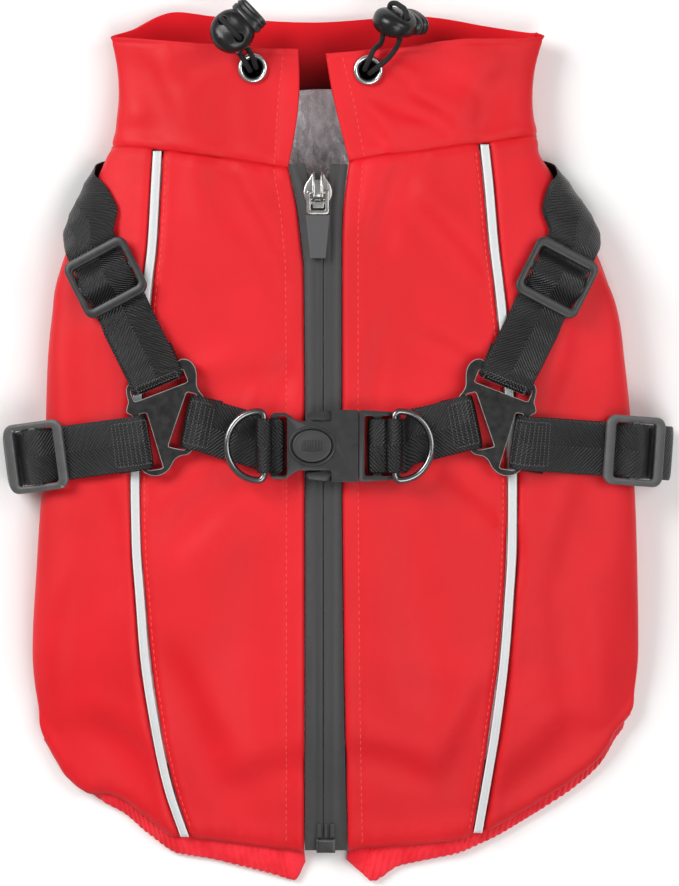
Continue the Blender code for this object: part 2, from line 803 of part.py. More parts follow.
def lock_frame(hand):
    """Local Z along the cord through the lock, local X from one cord hole to the other"""
    lock = LOCKS[hand]
    axis = Vector(lock["axis"]).normalized()
    pair = Vector(lock["pair"])
    pair = (pair - axis * pair.dot(axis)).normalized()
    side = axis.cross(pair)
    turned = Matrix((pair, side, axis)).transposed().to_4x4()
    return Matrix.Translation(Vector(lock["at"]) * MM) @ turned


def cord_lock(hand):
    place = lock_frame(hand)
    shape = bmesh.new()
    bmesh.ops.create_uvsphere(shape, u_segments=14, v_segments=9, radius=0.5)
    size = (LOCK["width"] * MM, LOCK["width"] * MM, LOCK["depth"] * MM)
    bmesh.ops.scale(shape, vec=size, verts=shape.verts[:])
    data = bpy.data.meshes.new("cord_lock_" + hand)
    shape.to_mesh(data)
    shape.free()
    body = node("cord_lock_" + hand, data, MOULDED)
    body.matrix_world = place
    body.data.shade_smooth()
    for i, at in enumerate((-LOCK["spread"], LOCK["spread"])):
        hole = oval(LOCK["hole"], LOCK["hole"], 10, (at, 0))
        cut(body, tool_prism(f"cord_hole_{hand}_{i}", hole, -8, 8, place))
    bore = plunger_place(hand)
    room = oval(PLUNGER["long"] + 2 * SEAM, PLUNGER["high"] + 2 * SEAM, 14)
    cut(body, tool_prism("plunger_bore_" + hand, room, -PLUNGER["travel"] - 0.5, 8, bore))


def plunger_place(hand):
    """Local Z out of the lock's rim, along the way the plunger is pressed"""
    swap = Matrix.Rotation(math.radians(-90), 4, "X")
    reach = Matrix.Translation(Vector((0, 0, PLUNGER["from"])) * MM)
    return lock_frame(hand) @ swap @ reach


def plunger(hand):
    outline = oval(PLUNGER["long"], PLUNGER["high"], 14)
    made = prism("lock_plunger_" + hand, outline, 0, PLUNGER["out"], MOULDED, plunger_place(hand))
    bevel(made, 0.6)


def cord_route(hand):
    """Both strands of the elastic: out of the eyelet, up through the lock and back"""
    place = lock_frame(hand)
    eye = np.array(eyelet_place(hand).translation) / MM
    half, spread = LOCK["depth"] / 2, LOCK["spread"]

    def at_lock(x, z):
        return np.array(place @ (Vector((x, 0, z)) * MM)) / MM

    def strand(side):
        below = at_lock(side * spread * 0.85, -half - 3.4)
        aside = (below - eye) * [1, 1, 0]
        over = np.array((-aside[1], aside[0], 0)) / np.linalg.norm(aside)
        over *= np.sign(over @ (at_lock(side, 0) - at_lock(0, 0)))
        start = eye + over * CORD_D * 0.62
        lifts = [(0, -WALL - 1.0), (0, 0.4), (0.22, 2.6), (0.6, 3.4)]
        rise = [start + aside * share + [0, 0, lift] for share, lift in lifts]
        return rise + [below, *[at_lock(side * spread, z) for z in (-half - 1, -half + 1, half - 1)]]

    arch = [at_lock(spread * math.cos(a), half + 0.3 + LOCK["arch"] * math.sin(a))
            for a in np.radians([8, 35, 62, 90, 118, 145, 172])]
    return np.array(strand(1) + arch + strand(-1)[::-1])


def cord(hand):
    through = cord_route(hand)
    steps = np.concatenate([[0], np.cumsum(np.linalg.norm(np.diff(through, axis=0), axis=1))])
    even = np.linspace(0, steps[-1], 28)
    points = np.stack([hermite(steps, through[:, k], even) for k in range(3)], -1)
    data = bpy.data.curves.new("cord_" + hand, "CURVE")
    data.dimensions = "3D"
    data.bevel_depth = CORD_D / 2 * MM
    data.bevel_resolution = 2
    data.use_fill_caps = True
    spline = data.splines.new("POLY")
    spline.points.add(len(points) - 1)
    for point, place in zip(spline.points, points):
        point.co = (*(place * MM), 1)
    node("cord_" + hand, data, ELASTIC)


def hermite(xs, ys, x):
    """Smooth cubic through the points, its slopes taken from both neighbours"""
    slope = np.gradient(ys, xs)
    i = np.clip(np.searchsorted(xs, x) - 1, 0, len(xs) - 2)
    step = xs[i + 1] - xs[i]
    t = (x - xs[i]) / step
    return ((2 * t**3 - 3 * t**2 + 1) * ys[i] + (t**3 - 2 * t**2 + t) * step * slope[i]
            + (3 * t**2 - 2 * t**3) * ys[i + 1] + (t**3 - t**2) * step * slope[i + 1])


# ---------------------------------------------------------------- harness plates

PLATE_LIFT = SEAM + WEB_T + SEAM + BAR_T / 2 + 0.9   # middle of a plate above the cloth
HARNESS_X = -2.7        # centre line of the harness
PLATE_X = 59.3          # middle of a plate from that line
PLATE_Y = 9.0
BAR_W = 2.6
# Bars of the left plate from its middle, with the direction that their straps leave in
BARS = {"shoulder": (-2.2, 14.0, 112.5), "centre": (11.6, -2.2, -12.0), "girth": (-7.5, -9.2, -170.7)}
# Width at both ends of the slot behind each bar
SLOT_ENDS = {"shoulder": (4.2, 4.8), "centre": (3.6, 6.0), "girth": (5.4, 2.7)}
# Edge of the left plate from its middle: a lobe at each corner, with a notch on its sides
PLATE_EDGE = """
x       y
5.6     19.4
7.4     20.5
10.2    19.7
12.1    17.2
12.5    14.2
12.3    11.2
13.2    9.0
14.9    7.2
14.9    5.6
11.2    -10.4
10.6    -12.4
9.0     -13.4
6.6     -13.7
4.6     -15.0
3.5     -17.6
1.4     -19.8
-1.4    -20.9
-4.2    -20.5
-6.6    -19.2
-7.5    -17.2
-9.3    -1.6
-10.4   0.6
-12.4   1.2
-12.2   3.2
-11.5   5.0
-12.2   7.2
-12.5   9.6
-11.8   11.3
-9.4    12.5
4.4     18.2
"""
PLATE_EDGE = table(PLATE_EDGE)


def turned(hand, x, y):
    return np.array((x if hand == "left" else -x, y))


def bar_line(hand, name):
    """Middle of a bar, its direction and the direction that its strap leaves in"""
    x, y, angle = BARS[name]
    angle = math.radians(angle)
    away = turned(hand, math.cos(angle), math.sin(angle))
    return turned(hand, x, y), np.array((away[1], -away[0])), away


def plate_centre(hand):
    return np.array((HARNESS_X + out(hand) * PLATE_X, PLATE_Y))


def plate_frame(hand):
    x, y = plate_centre(hand)
    dx = (top_z(hand, x + 9, y) - top_z(hand, x - 9, y)) / 18
    dy = (top_z(hand, x, y + 12) - top_z(hand, x, y - 12)) / 24
    z = top_z(hand, x, y) + PLATE_LIFT
    return frame((x, y, z), (1, 0, dx), (0, 1, dy))


def slot_line(hand, name):
    """Corners of the slot behind a bar, which is as long as the webbing is wide and widens"""
    middle, run, away = bar_line(hand, name)
    run = run * (1 if hand == "left" else -1) * (WEB + 1.0) / 2
    first, last = SLOT_ENDS[name]
    start = middle - away * BAR_W / 2
    return np.array([start - run, start + run, start + run - away * last, start - run - away * first])


def plate(hand):
    """Triangular plate with a bar and a slot along each side, and a lobe at each corner"""
    outline = turned(hand, PLATE_EDGE["x"], PLATE_EDGE["y"]).T
    slots = [slot_line(hand, name) for name in BARS]
    flat("plate_" + hand, [outline, *slots], BAR_T, MOULDED, plate_frame(hand))


# ---------------------------------------------------------------- adjusters

ADJUSTER = {"along": 21.6, "across": 23.8, "rail": 2.0, "bar": 3.0, "radius": 3.2}
RIDE = BAR_T / 2 + SEAM + WEB_T / 2     # strap's middle above or below a bar's middle


def adjuster(name, place):
    """Tri-glide: a rounded frame with two windows either side of its middle bar"""
    length, width = ADJUSTER["along"], ADJUSTER["across"]
    window = (length - 3 * ADJUSTER["bar"]) / 2
    reach = (window + ADJUSTER["bar"]) / 2
    opening = width - 2 * ADJUSTER["rail"]
    outlines = [rounded(length, width, ADJUSTER["radius"])]
    outlines += [rounded(window, opening, 0.8, (side * reach, 0), 3) for side in (-1, 1)]
    flat(name, outlines, BAR_T, MOULDED, place)


def through_adjuster(place, columns=3):
    """Rows of a strap that goes under, over and under the bars, along local X"""
    stations = [(-13.6, -RIDE), (-10.9, -RIDE), (-7.4, -RIDE), (-1.9, RIDE), (1.9, RIDE),
                (7.4, -RIDE), (10.9, -RIDE), (13.6, -RIDE)]
    return rows_in(place, stations, columns)


def rows_in(place, stations, columns=3):
    """Straight rows across a strap at (along, height) in a piece's own frame"""
    rows = []
    for x, z in stations:
        row = np.linspace(-WEB / 2, WEB / 2, columns)
        rows.append([tuple((place @ (Vector((x, y, z)) * MM)) / MM) for y in row])
    return rows


def surface_rows(hand, middles, headings, lifts, columns=3):
    """Rows across a strap that lies on the upper layer"""
    rows = []
    for (x, y), (dx, dy), lift in zip(middles, headings, lifts):
        size = math.hypot(dx, dy)
        side = np.array((-dy, dx)) / size * WEB / 2
        row = []
        for k in np.linspace(-1, 1, columns):
            px, py = x + side[0] * k, y + side[1] * k
            row.append((px, py, top_z(hand, px, py) + lift))
        rows.append(row)
    return rows


def fold_rows(place, middle, away, back, columns=3):
    """Rows of a strap's end: a short leg under a bar, up through the slot and over it"""
    base = place @ Matrix.Translation(Vector((*middle, 0)) * MM)
    angle = math.atan2(away[1], away[0])
    base = base @ Matrix.Rotation(angle, 4, "Z")
    turn = [(-0.9 - RIDE * math.sin(a), -RIDE * math.cos(a)) for a in np.radians([0, 45, 90, 135, 180])]
    return rows_in(base, [(back, -RIDE), (2.0, -RIDE)] + turn + [(2.0, RIDE)], columns)


# ---------------------------------------------------------------- shoulder straps

SHOULDER = {"left": (-81.6, 57.7), "right": (76.2, 57.7)}


def around(hand, reach, y, lift):
    """A point at this distance round the section from the silhouette, above it if positive"""
    across = 1 - np.linspace(0, 1, 60) ** 2 * 0.6
    x = zip_x(hand, y) + (side_x(hand, y) - zip_x(hand, y)) * across
    upper = np.stack([x, top_z(hand, x, np.full_like(x, y))], -1)
    along = float(along_of(hand, side_x(hand, y), y))
    side = float(smooth(LOFT["along"], LOFT["side"], np.array(along)))
    angle = np.radians(np.linspace(0, 90, 12))[1:]
    edge = float(side_x(hand, y))
    turn = np.stack([edge - out(hand) * EDGE_TURN * (1 - np.cos(angle)),
                     side - (side - UNDER) * np.sin(angle)], -1)
    floor = np.array([[edge - out(hand) * 75.0, UNDER]])
    line = np.concatenate([upper[::-1], turn, floor])
    steps = np.concatenate([[0], np.cumsum(np.linalg.norm(np.diff(line, axis=0), axis=1))])
    steps = steps[len(upper) - 1] - steps
    order = np.argsort(steps)
    point = np.array([np.interp(reach, steps[order], line[order, k]) for k in (0, 1)])
    ahead = np.array([np.interp(reach + 1.5, steps[order], line[order, k]) for k in (0, 1)])
    behind = np.array([np.interp(reach - 1.5, steps[order], line[order, k]) for k in (0, 1)])
    tangent = (ahead - behind) / np.linalg.norm(ahead - behind)
    normal = np.array((tangent[1], -tangent[0])) * (-out(hand))
    normal = -normal if normal @ np.array((out(hand), 0.2 if reach > 0 else -0.2)) < 0 else normal
    x, z = point + normal * lift
    return (x, y, max(z, WEB_T / 2 + 0.01))


# Strap over the shoulder: its middle's reach round the section, and the lift off the cloth
# of its edges towards the neck and towards the table
OVER_SHOULDER = """
reach    y      neck   table
9.0     75.6    1.6    2.8
6.0     79.4    1.8    4.4
2.0     83.4    2.2    5.4
-2.0    86.5    2.8    5.0
-6.0    88.9    3.2    3.6
-10.0   90.6    3.2    2.4
-14.0   91.9    2.6    1.6
-20.0   93.0    1.2    1.0
"""
WRAP_COLUMNS = 5
YOKE_START = 36.0       # the yoke takes over this far round under the shoulder
YOKE_Y = (93.0, 80.0)   # outer end and middle of the yoke


def shoulder_frame(hand):
    x, y = SHOULDER[hand]
    foot = plate_centre(hand) + bar_line(hand, "shoulder")[0]
    run = np.array((x, y)) - foot
    run /= np.linalg.norm(run)
    cross = np.array((-run[1], run[0]))

    def slope(step):
        ahead = top_z(hand, x + step[0] * 9, y + step[1] * 9)
        behind = top_z(hand, x - step[0] * 9, y - step[1] * 9)
        return float(ahead - behind) / 18

    z = float(top_z(hand, x, y)) + RIDE + WEB_T / 2 + SEAM + 0.9
    return frame((x, y, z), (*run, slope(run)), (*cross, slope(cross))), foot, run


def shoulder_strap(hand):
    place, foot, run = shoulder_frame(hand)
    adjuster("adjuster_shoulder_" + hand, place)
    middle, _, away = bar_line(hand, "shoulder")
    rows = fold_rows(plate_frame(hand), middle, away, 9.0, WRAP_COLUMNS)
    length = np.linalg.norm(np.array(SHOULDER[hand]) - foot)
    spans = np.array([7.0, 12.0, 17.0, 21.0])
    spans = spans[spans < length - 15]
    middles = [foot + run * s for s in spans]
    lifts = np.interp(spans, [5, 12, 25], [4.9, 3.2, 1.6])
    rows += surface_rows(hand, middles, [run] * len(spans), lifts, WRAP_COLUMNS)
    rows += through_adjuster(place, WRAP_COLUMNS)
    over = table(OVER_SHOULDER)
    line = np.stack([over["reach"], over["y"]], -1)
    heading = np.gradient(line, axis=0)
    heading /= np.linalg.norm(heading, axis=1, keepdims=True)
    across = np.linspace(-1, 1, WRAP_COLUMNS)
    for (reach, y), (dr, dy), neck, low in zip(line, heading, over["neck"], over["table"]):
        rows.append([around(hand, reach + dy * WEB / 2 * k, y - dr * WEB / 2 * k,
                            low + (neck - low) * (k + 1) / 2) for k in across])
    edge = float(side_x(hand, YOKE_Y[0]))
    for inward in (YOKE_START - 7.0, YOKE_START - SEAM):
        x = edge - out(hand) * inward
        rows.append([(x, YOKE_Y[0] + k * WEB / 2, WEB_T / 2 + 0.01) for k in across])
    ribbon("shoulder_strap_" + hand, align(rows), WEBBING)


def align(rows):
    """Turns each row so that its ends follow on from the row before"""
    rows = [np.array(row) for row in rows]
    for i in range(1, len(rows)):
        straight = np.linalg.norm(rows[i] - rows[i - 1], axis=1).sum()
        crossed = np.linalg.norm(rows[i][::-1] - rows[i - 1], axis=1).sum()
        if crossed < straight:
            rows[i] = rows[i][::-1]
    return np.array(rows)


def yoke_strap(hand):
    """Under the chest from the shoulder to the middle, flat on the table"""
    edge = float(side_x(hand, YOKE_Y[0]))
    start, end = edge - out(hand) * YOKE_START, out(hand) * SEAM / 2 + HARNESS_X
    rows = []
    for t in (0.0, 0.5, 1.0):
        x, y = start + (end - start) * t, YOKE_Y[0] + (YOKE_Y[1] - YOKE_Y[0]) * t
        rows.append([(x, y + k * WEB / 2, WEB_T / 2 + 0.01) for k in (-1, 0, 1)])
    ribbon("yoke_strap_" + hand, rows, WEBBING)


# ---------------------------------------------------------------- girth straps

CHEST = {
    "left": {"adjuster": 36.9, "drop": -0.132, "bulge": 2.7},
    "right": {"adjuster": 39.4, "drop": -0.07, "bulge": 8.3},
}
CHEST_TILT = 21.5
CHEST_END = 88.0        # the belly strap takes over here, from the harness's centre line
BELLY_STRAP_Y = -3.5


def chest_strap(hand):
    """From the plate through its adjuster, round the edge of the coat and under it"""
    middle, _, away = bar_line(hand, "girth")
    rows = fold_rows(plate_frame(hand), middle, away, 9.0)
    foot = plate_centre(hand) + middle
    run = np.array((out(hand), CHEST[hand]["drop"]))
    run /= np.linalg.norm(run)
    spans = np.array([8.0, 13.0, 18.0])
    middles = [foot + run * s for s in spans]
    rows += surface_rows(hand, middles, [run] * 3, [4.6, 3.4, 2.4])
    reach = CHEST[hand]["adjuster"]
    spot = foot + run * reach
    bend = foot + run * 22
    tilt = math.radians(CHEST_TILT)
    z = float(top_z(hand, *bend)) - math.tan(tilt) * (reach - 22) + 5.2
    along = (run[0] * math.cos(tilt), run[1] * math.cos(tilt), -math.sin(tilt))
    place = frame((*spot, z), along, (-run[1], run[0], 0))
    adjuster("adjuster_chest_" + hand, place)
    rows += through_adjuster(place)[1:-2]
    rows += rows_in(place, [(9.8, -RIDE)])
    low = WEB_T / 2 + 0.01
    last = np.array(rows[-1][1])
    step = np.array((*run, 0.0))
    rise = (last[2] - low) / 2
    bulge = CHEST[hand]["bulge"]
    first = math.atan(rise / (math.tan(tilt) * bulge))
    rise = (last[2] - low) / (1 + math.sin(first))
    turn = []
    for angle in np.concatenate([np.linspace(first, 0, 5)[1:], np.radians([-22, -45, -67, -90])]):
        spot = last + step * bulge * (math.cos(angle) - math.cos(first))
        turn.append((spot[0], spot[1], low + rise * (1 + math.sin(angle))))
    wide = np.array((-run[1], run[0], 0)) * WEB / 2
    rows += [[tuple(np.array(p) + wide * k) for k in (-1, 0, 1)] for p in turn]
    inner = HARNESS_X + out(hand) * CHEST_END
    half_way = (turn[-1][0] + inner) / 2
    rows.append([(half_way, BELLY_STRAP_Y + k * WEB / 2, low) for k in (-1, 0, 1)])
    rows.append([(inner + out(hand) * SEAM, BELLY_STRAP_Y + k * WEB / 2, low) for k in (-1, 0, 1)])
    ribbon("chest_strap_" + hand, align(rows), WEBBING)


def belly_strap():
    ends = np.linspace(HARNESS_X - CHEST_END, HARNESS_X + CHEST_END, 5)
    low = WEB_T / 2 + 0.01
    rows = [[(x, BELLY_STRAP_Y + k * WEB / 2, low) for k in (-1, 0, 1)] for x in ends]
    ribbon("belly_strap", rows, WEBBING)


def sternum_strap():
    """Joins the yoke to the belly strap between the leg holes"""
    low = WEB_T / 2 + 0.01
    top = YOKE_Y[1] - WEB / 2 - SEAM
    bottom = BELLY_STRAP_Y + WEB / 2 + SEAM
    rows = [[(HARNESS_X + k * WEB / 2, y, low) for k in (-1, 0, 1)] for y in np.linspace(top, bottom, 3)]
    ribbon("sternum_strap", rows, WEBBING)


# ---------------------------------------------------------------- buckle

BUCKLE = {"left": -23.9, "right": 21.6, "y": -1.2, "width": 25.2, "height": 7.0, "lift": 1.3}
SLOT_HALF = 10.5        # half the opening that the webbing passes
PARTING = 6.8           # female and male bodies meet here


def buckle_frame():
    z = zip_height(BUCKLE["y"]) + BUCKLE["lift"] + BUCKLE["height"] / 2
    return Matrix.Translation(Vector((0, BUCKLE["y"], z)) * MM)


def mirrored(half):
    """An outline whose lower half repeats its upper half"""
    return half + [(x, -y) for x, y in half[::-1]]


def buckle():
    place = buckle_frame()
    width, height = BUCKLE["width"] / 2, BUCKLE["height"] / 2
    left = BUCKLE["left"]
    outline = mirrored([(left, 10.6), (left + 1.2, 11.6), (-18.6, 11.6), (-15.4, 9.2), (-13.4, 8.4),
                        (-10.6, 9.0), (-8.0, width), (PARTING - 0.6, width), (PARTING, width - 0.6)])
    female = prism("buckle_female", outline, -height, height, MOULDED, place)
    cut(female, tool_prism("webbing_slot", rounded(3.2, 2 * SLOT_HALF, 1.0, (-19.7, 0), 3), -9, 9, place))
    low_bar = [(left - 1, -SLOT_HALF), (-20.6, -SLOT_HALF), (-20.6, SLOT_HALF), (left - 1, SLOT_HALF)]
    cut(female, tool_prism("bar_top", low_bar, 1.2, 9, place))
    cut(female, tool_prism("bar_below", low_bar, -9, -1.2, place))
    for side in (-1, 1):
        window = rounded(9.6, 4.6, 0.8, (-7.4, side * 10.8), 3)
        cut(female, tool_prism(f"prong_window_{side}", window, -9, 9, place))
        channel = rounded(20.0, 3.4, 0.5, (PARTING - 4.0, side * 9.4), 2)
        cut(female, tool_prism(f"arm_channel_{side}", channel, -1.7, 1.7, place))
    cut(female, tool_prism("button_pocket", oval(14.6, 12.2, 24, (-9.4, 0)), 1.2, 9, place))
    prism("buckle_button", oval(13.9, 11.5, 24, (-9.4, 0)), 1.5, height + 0.5, MOULDED, place)

    right = BUCKLE["right"]
    start = PARTING + SEAM
    base = mirrored([(start, width - 0.6), (start + 0.6, width), (right - 3.4, 11.9), (right, 10.9)])
    male = prism("buckle_male", base, -height, height, MOULDED, place)
    cut(male, tool_prism("male_slot", rounded(3.4, 2 * SLOT_HALF, 1.0, (10.6, 0), 3), -9, 9, place))
    cut(male, tool_prism("male_gap", rounded(5.2, 2 * SLOT_HALF, 0.4, (17.5, 0), 2), -9, 9, place))
    over = rounded(right + 2 - 11.5, 2 * SLOT_HALF, 0.2, ((right + 2 + 11.5) / 2, 0), 2)
    cut(male, tool_prism("male_bars_below", over, -9, -1.2, place))
    cut(male, tool_prism("male_bars_top", over, 1.2, 9, place))
    rear_top = rounded(8.0, 30.0, 0.2, (right - 0.7, 0), 2)
    cut(male, tool_prism("male_rear_top", rear_top, 1.2, 9, place))
    rear = rounded(6.0, 30.0, 0.2, (right + 0.4, 0), 2)
    cut(male, tool_prism("male_rear_below", rear, -9, -0.6, place))
    for side in (-1, 1):
        arm = [(start + 0.5, 8.1), (-5.2, 8.1), (-6.6, 8.9), (-11.0, 9.4), (-11.4, 10.4), (-10.6, 11.6),
               (-5.0, 12.3), (-3.6, 11.9), (-3.0, 10.7), (start + 0.5, 10.7)]
        arm = [(x, side * y) for x, y in arm]
        join(male, tool_prism(f"prong_{side}", arm, -1.4, 1.4, place))


# ---------------------------------------------------------------- centre straps and rings

RING = {"wire": 2.4, "bar_half": 11.0, "depth": 13.0}
# Each ring's bar: across the coat, above the buckle's middle, and down to where its loop is sewn
RING_BAR = {"left": {"x": -26.2, "above": 4.3, "seat": 1.2}, "right": {"x": 19.4, "above": 2.9, "seat": 0.5}}
END_BAR = {"left": -22.6, "right": 13.6}
REAR_PASS = 1.75        # the right strap's middle runs this far below the buckle's, under its rear bar


def centre_strap(hand):
    """From the plate to the buckle, folded round a bar at both ends"""
    middle, _, away = bar_line(hand, "centre")
    rows = fold_rows(plate_frame(hand), middle, away, 8.0)
    foot = plate_centre(hand) + middle
    goal = np.array((END_BAR[hand], BUCKLE["y"]))
    run = (goal - foot) / np.linalg.norm(goal - foot)
    bar_z = zip_height(BUCKLE["y"]) + BUCKLE["lift"] + BUCKLE["height"] / 2
    length = np.linalg.norm(goal - foot)
    for s in np.linspace(7, length - (8 if hand == "left" else 12), 3):
        x, y = foot + run * s
        drop = np.interp(s, [5, 12, length], [4.9, 3.4, 2.6])
        rows += surface_rows(hand, [(x, y)], [(run[0], 0.6 * run[1])], [drop])
    toward = -out(hand)
    ahead = Matrix.Translation(Vector((goal[0], goal[1], bar_z)) * MM)
    turned = ahead @ Matrix.Rotation(0 if toward < 0 else math.pi, 4, "Z")
    turn = [(-0.9 - RIDE * math.sin(a), RIDE * math.cos(a)) for a in np.radians([0, 45, 90, 135, 180])]
    if hand == "right":
        rows += rows_in(turned, [(9.4, -REAR_PASS), (5.6, -REAR_PASS)])
    rows += rows_in(turned, [(2.0, RIDE)] + turn + [(2.0, -RIDE)])
    ribbon("centre_strap_" + hand, align(rows), WEBBING)


def ring_frame(hand):
    """Local X from the ring's bar to its arc, local Y along the bar"""
    x, y = RING_BAR[hand]["x"], BUCKLE["y"]
    z = zip_height(y) + BUCKLE["lift"] + BUCKLE["height"] / 2 + RING_BAR[hand]["above"]
    droop = -0.05
    return frame((x, y, z), (out(hand), 0, droop), (0, out(hand), 0))


def d_ring(hand):
    half, depth, wire = RING["bar_half"], RING["depth"], RING["wire"]
    angles = np.radians(np.linspace(-90, 90, 13))
    arc = [(2.0 + (depth - 2.0) * math.cos(a), (half + 1.0) * math.sin(a)) for a in angles]
    outline = [(0, -half + 1.6), (0.5, -half)] + arc + [(0.5, half), (0, half - 1.6)]
    data = bpy.data.curves.new("d_ring_" + hand, "CURVE")
    data.dimensions = "3D"
    data.bevel_depth = wire / 2 * MM
    data.bevel_resolution = 2
    spline = data.splines.new("POLY")
    spline.points.add(len(outline) - 1)
    spline.use_cyclic_u = True
    for point, (x, y) in zip(spline.points, outline):
        point.co = (x * MM, y * MM, 0, 1)
    ring = node("d_ring_" + hand, data, GUNMETAL)
    ring.matrix_world = ring_frame(hand)


def ring_loop(hand):
    """Short webbing loop over the ring's bar, sewn to the strap beneath"""
    place = ring_frame(hand)
    reach = RING["wire"] / 2 + SEAM + WEB_T / 2
    arch = [(reach * math.sin(a), reach * math.cos(a)) for a in np.radians([80, 50, 20, -10, -40, -70])]
    stations = [(reach + 0.1, -0.5)] + arch + [(-reach, -0.2), (-reach, -RING_BAR[hand]["seat"])]
    ribbon("ring_loop_" + hand, rows_in(place, stations), WEBBING)


# ---------------------------------------------------------------- assembly

belly()
lining()
collar()
hem_rib_belly()
slider()
pull()
zip_box()
belly_strap()
sternum_strap()
buckle()
for hand in HANDS:
    back_panel(hand)
    side_panel(hand)
    leg_binding(hand)
    hem_rib(hand)
    piping(hand)
    zip_tape(hand)
    eyelet(hand)
    cord_lock(hand)
    plunger(hand)
    cord(hand)
    plate(hand)
    shoulder_strap(hand)
    yoke_strap(hand)
    chest_strap(hand)
    centre_strap(hand)
    d_ring(hand)
    ring_loop(hand)

# The middle of the whole coat goes to the origin
for piece in [*COAT.objects, *CUTTERS.objects]:
    piece.location += Vector(TO_MIDDLE) * MM
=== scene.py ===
"""The dog coat as it looks: softshell, fleece, knit hem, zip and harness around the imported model.

Lengths are millimetres until a mesh is made. +Y points to the neck, +Z up from the table.
"""

import math

import bmesh
import bpy
import numpy as np
from mathutils import Matrix, Vector


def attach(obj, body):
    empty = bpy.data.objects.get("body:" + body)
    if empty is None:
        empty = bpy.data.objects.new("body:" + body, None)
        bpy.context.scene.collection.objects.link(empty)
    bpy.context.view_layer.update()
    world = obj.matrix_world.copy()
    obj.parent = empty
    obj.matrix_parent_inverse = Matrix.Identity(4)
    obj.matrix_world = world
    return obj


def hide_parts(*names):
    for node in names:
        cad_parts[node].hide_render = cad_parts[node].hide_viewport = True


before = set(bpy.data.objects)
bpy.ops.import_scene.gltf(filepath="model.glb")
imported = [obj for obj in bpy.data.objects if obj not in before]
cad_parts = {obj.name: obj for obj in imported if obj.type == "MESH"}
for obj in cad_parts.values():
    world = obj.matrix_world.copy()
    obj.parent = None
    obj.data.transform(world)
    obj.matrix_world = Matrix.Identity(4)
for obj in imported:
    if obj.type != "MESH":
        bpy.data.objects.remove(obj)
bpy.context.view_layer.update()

# -------------------------------- camera, light and table
# A flat lay: the camera looks straight down on the coat, which lies on a plain pale table.
# The light is one big soft sky with two broad panels, so the cloth is lit almost evenly.

MM = 0.001
TO_MIDDLE = np.array((0.35, -0.31, 0.0))  # from the zip's own origin to the coat's middle
HANDS = ("left", "right")
VIEW = {"x": 0.53, "y": -0.49, "tall": 311.0, "lens": 300.0, "film": 24.0, "level": 12.0}


def stand(name, data):
    """Puts an object of this name and data in the scene"""
    made = bpy.data.objects.new(name, data)
    bpy.context.scene.collection.objects.link(made)
    return made


def camera():
    data = bpy.data.cameras.new("camera")
    data.sensor_fit, data.sensor_height, data.lens = "VERTICAL", VIEW["film"], VIEW["lens"]
    distance = VIEW["tall"] * VIEW["lens"] / VIEW["film"]
    made = stand("camera", data)
    made.location = Vector((VIEW["x"], VIEW["y"], distance + VIEW["level"])) * MM
    bpy.context.scene.camera = made


def panel_light(name, place, size, power):
    """A broad soft panel that points at the coat"""
    data = bpy.data.lights.new(name, "AREA")
    data.size, data.energy = size, power
    made = stand(name, data)
    made.location = place
    made.rotation_euler = (-Vector(place)).to_track_quat("-Z", "Y").to_euler()
    made.visible_camera = False


def add(tree, kind, inputs=None, **settings):
    """A node with its settings, and for each input a plain value or the socket that feeds it"""
    made = tree.nodes.new(kind)
    for key, value in settings.items():
        setattr(made, key, value)
    for key, value in (inputs or {}).items():
        if isinstance(value, bpy.types.NodeSocket):
            tree.links.new(value, made.inputs[key])
        else:
            made.inputs[key].default_value = value
    return made


def ranged(tree, value, low, high, to_low=0.0, to_high=1.0):
    """A value's place between two, held to that range, drawn out between two others"""
    given = {"Value": value, "From Min": low, "From Max": high, "To Min": to_low, "To Max": to_high}
    return add(tree, "ShaderNodeMapRange", given).outputs[0]


def finish_of(name, roughness, metallic=0.0, **sockets):
    """A material with its fixed values on the shader itself, ready for its pattern"""
    made = bpy.data.materials.new(name)
    made.use_nodes = True
    shader = made.node_tree.nodes["Principled BSDF"]
    for label, value in dict(sockets, roughness=roughness, metallic=metallic).items():
        label = "Specular IOR Level" if label == "specular" else label.replace("_", " ").title()
        shader.inputs[label].default_value = value
    return made, made.node_tree, shader


def sky(low, high):
    """Brighter overhead than at the horizon, so that metal has something to mirror"""
    world = bpy.data.worlds.new("studio")
    world.use_nodes = True
    bpy.context.scene.world = world
    tree = world.node_tree
    place = add(tree, "ShaderNodeTexCoord").outputs["Generated"]
    up = add(tree, "ShaderNodeSeparateXYZ", {0: place}).outputs["Z"]
    shade = tree.nodes["Background"].inputs
    tree.links.new(ranged(tree, up, -0.2, 1.0, low, high), shade["Strength"])
    shade["Color"].default_value = (1, 0.995, 0.985, 1)


def table_top():
    data = bpy.data.meshes.new("table")
    reach, level = 4.0, -0.0003
    data.from_pydata([(x * reach, y * reach, level) for x, y in ((-1, -1), (1, -1), (1, 1), (-1, 1))],
                     [], [(0, 1, 2, 3)])
    pale, _, shader = finish_of("table_white", 0.9)
    shader.inputs["Base Color"].default_value = (0.93, 0.93, 0.925, 1)
    data.materials.append(pale)
    stand("table", data)


camera()
bpy.context.scene.view_settings.view_transform = "Standard"
sky(0.13, 0.29)
panel_light("left_panel", (-1.2, 0.8, 1.3), 0.9, 25)
panel_light("right_panel", (1.2, 0.4, 1.6), 1.0, 12)
panel_light("front_panel", (0.45, -0.8, 1.9), 1.0, 14)
table_top()

# -------------------------------- drawcords
# Round black elastic in a braided cover. Each cord comes out of its eyelet, passes up one
# hole of its lock and down the other, and goes back in: both ends are inside the collar.

CORD_D = 1.9


def table(text):
    """The columns of a small table as a dictionary of arrays"""
    rows = [line.split() for line in text.strip().splitlines()]
    return dict(zip(rows[0], np.array(rows[1:], float).T))


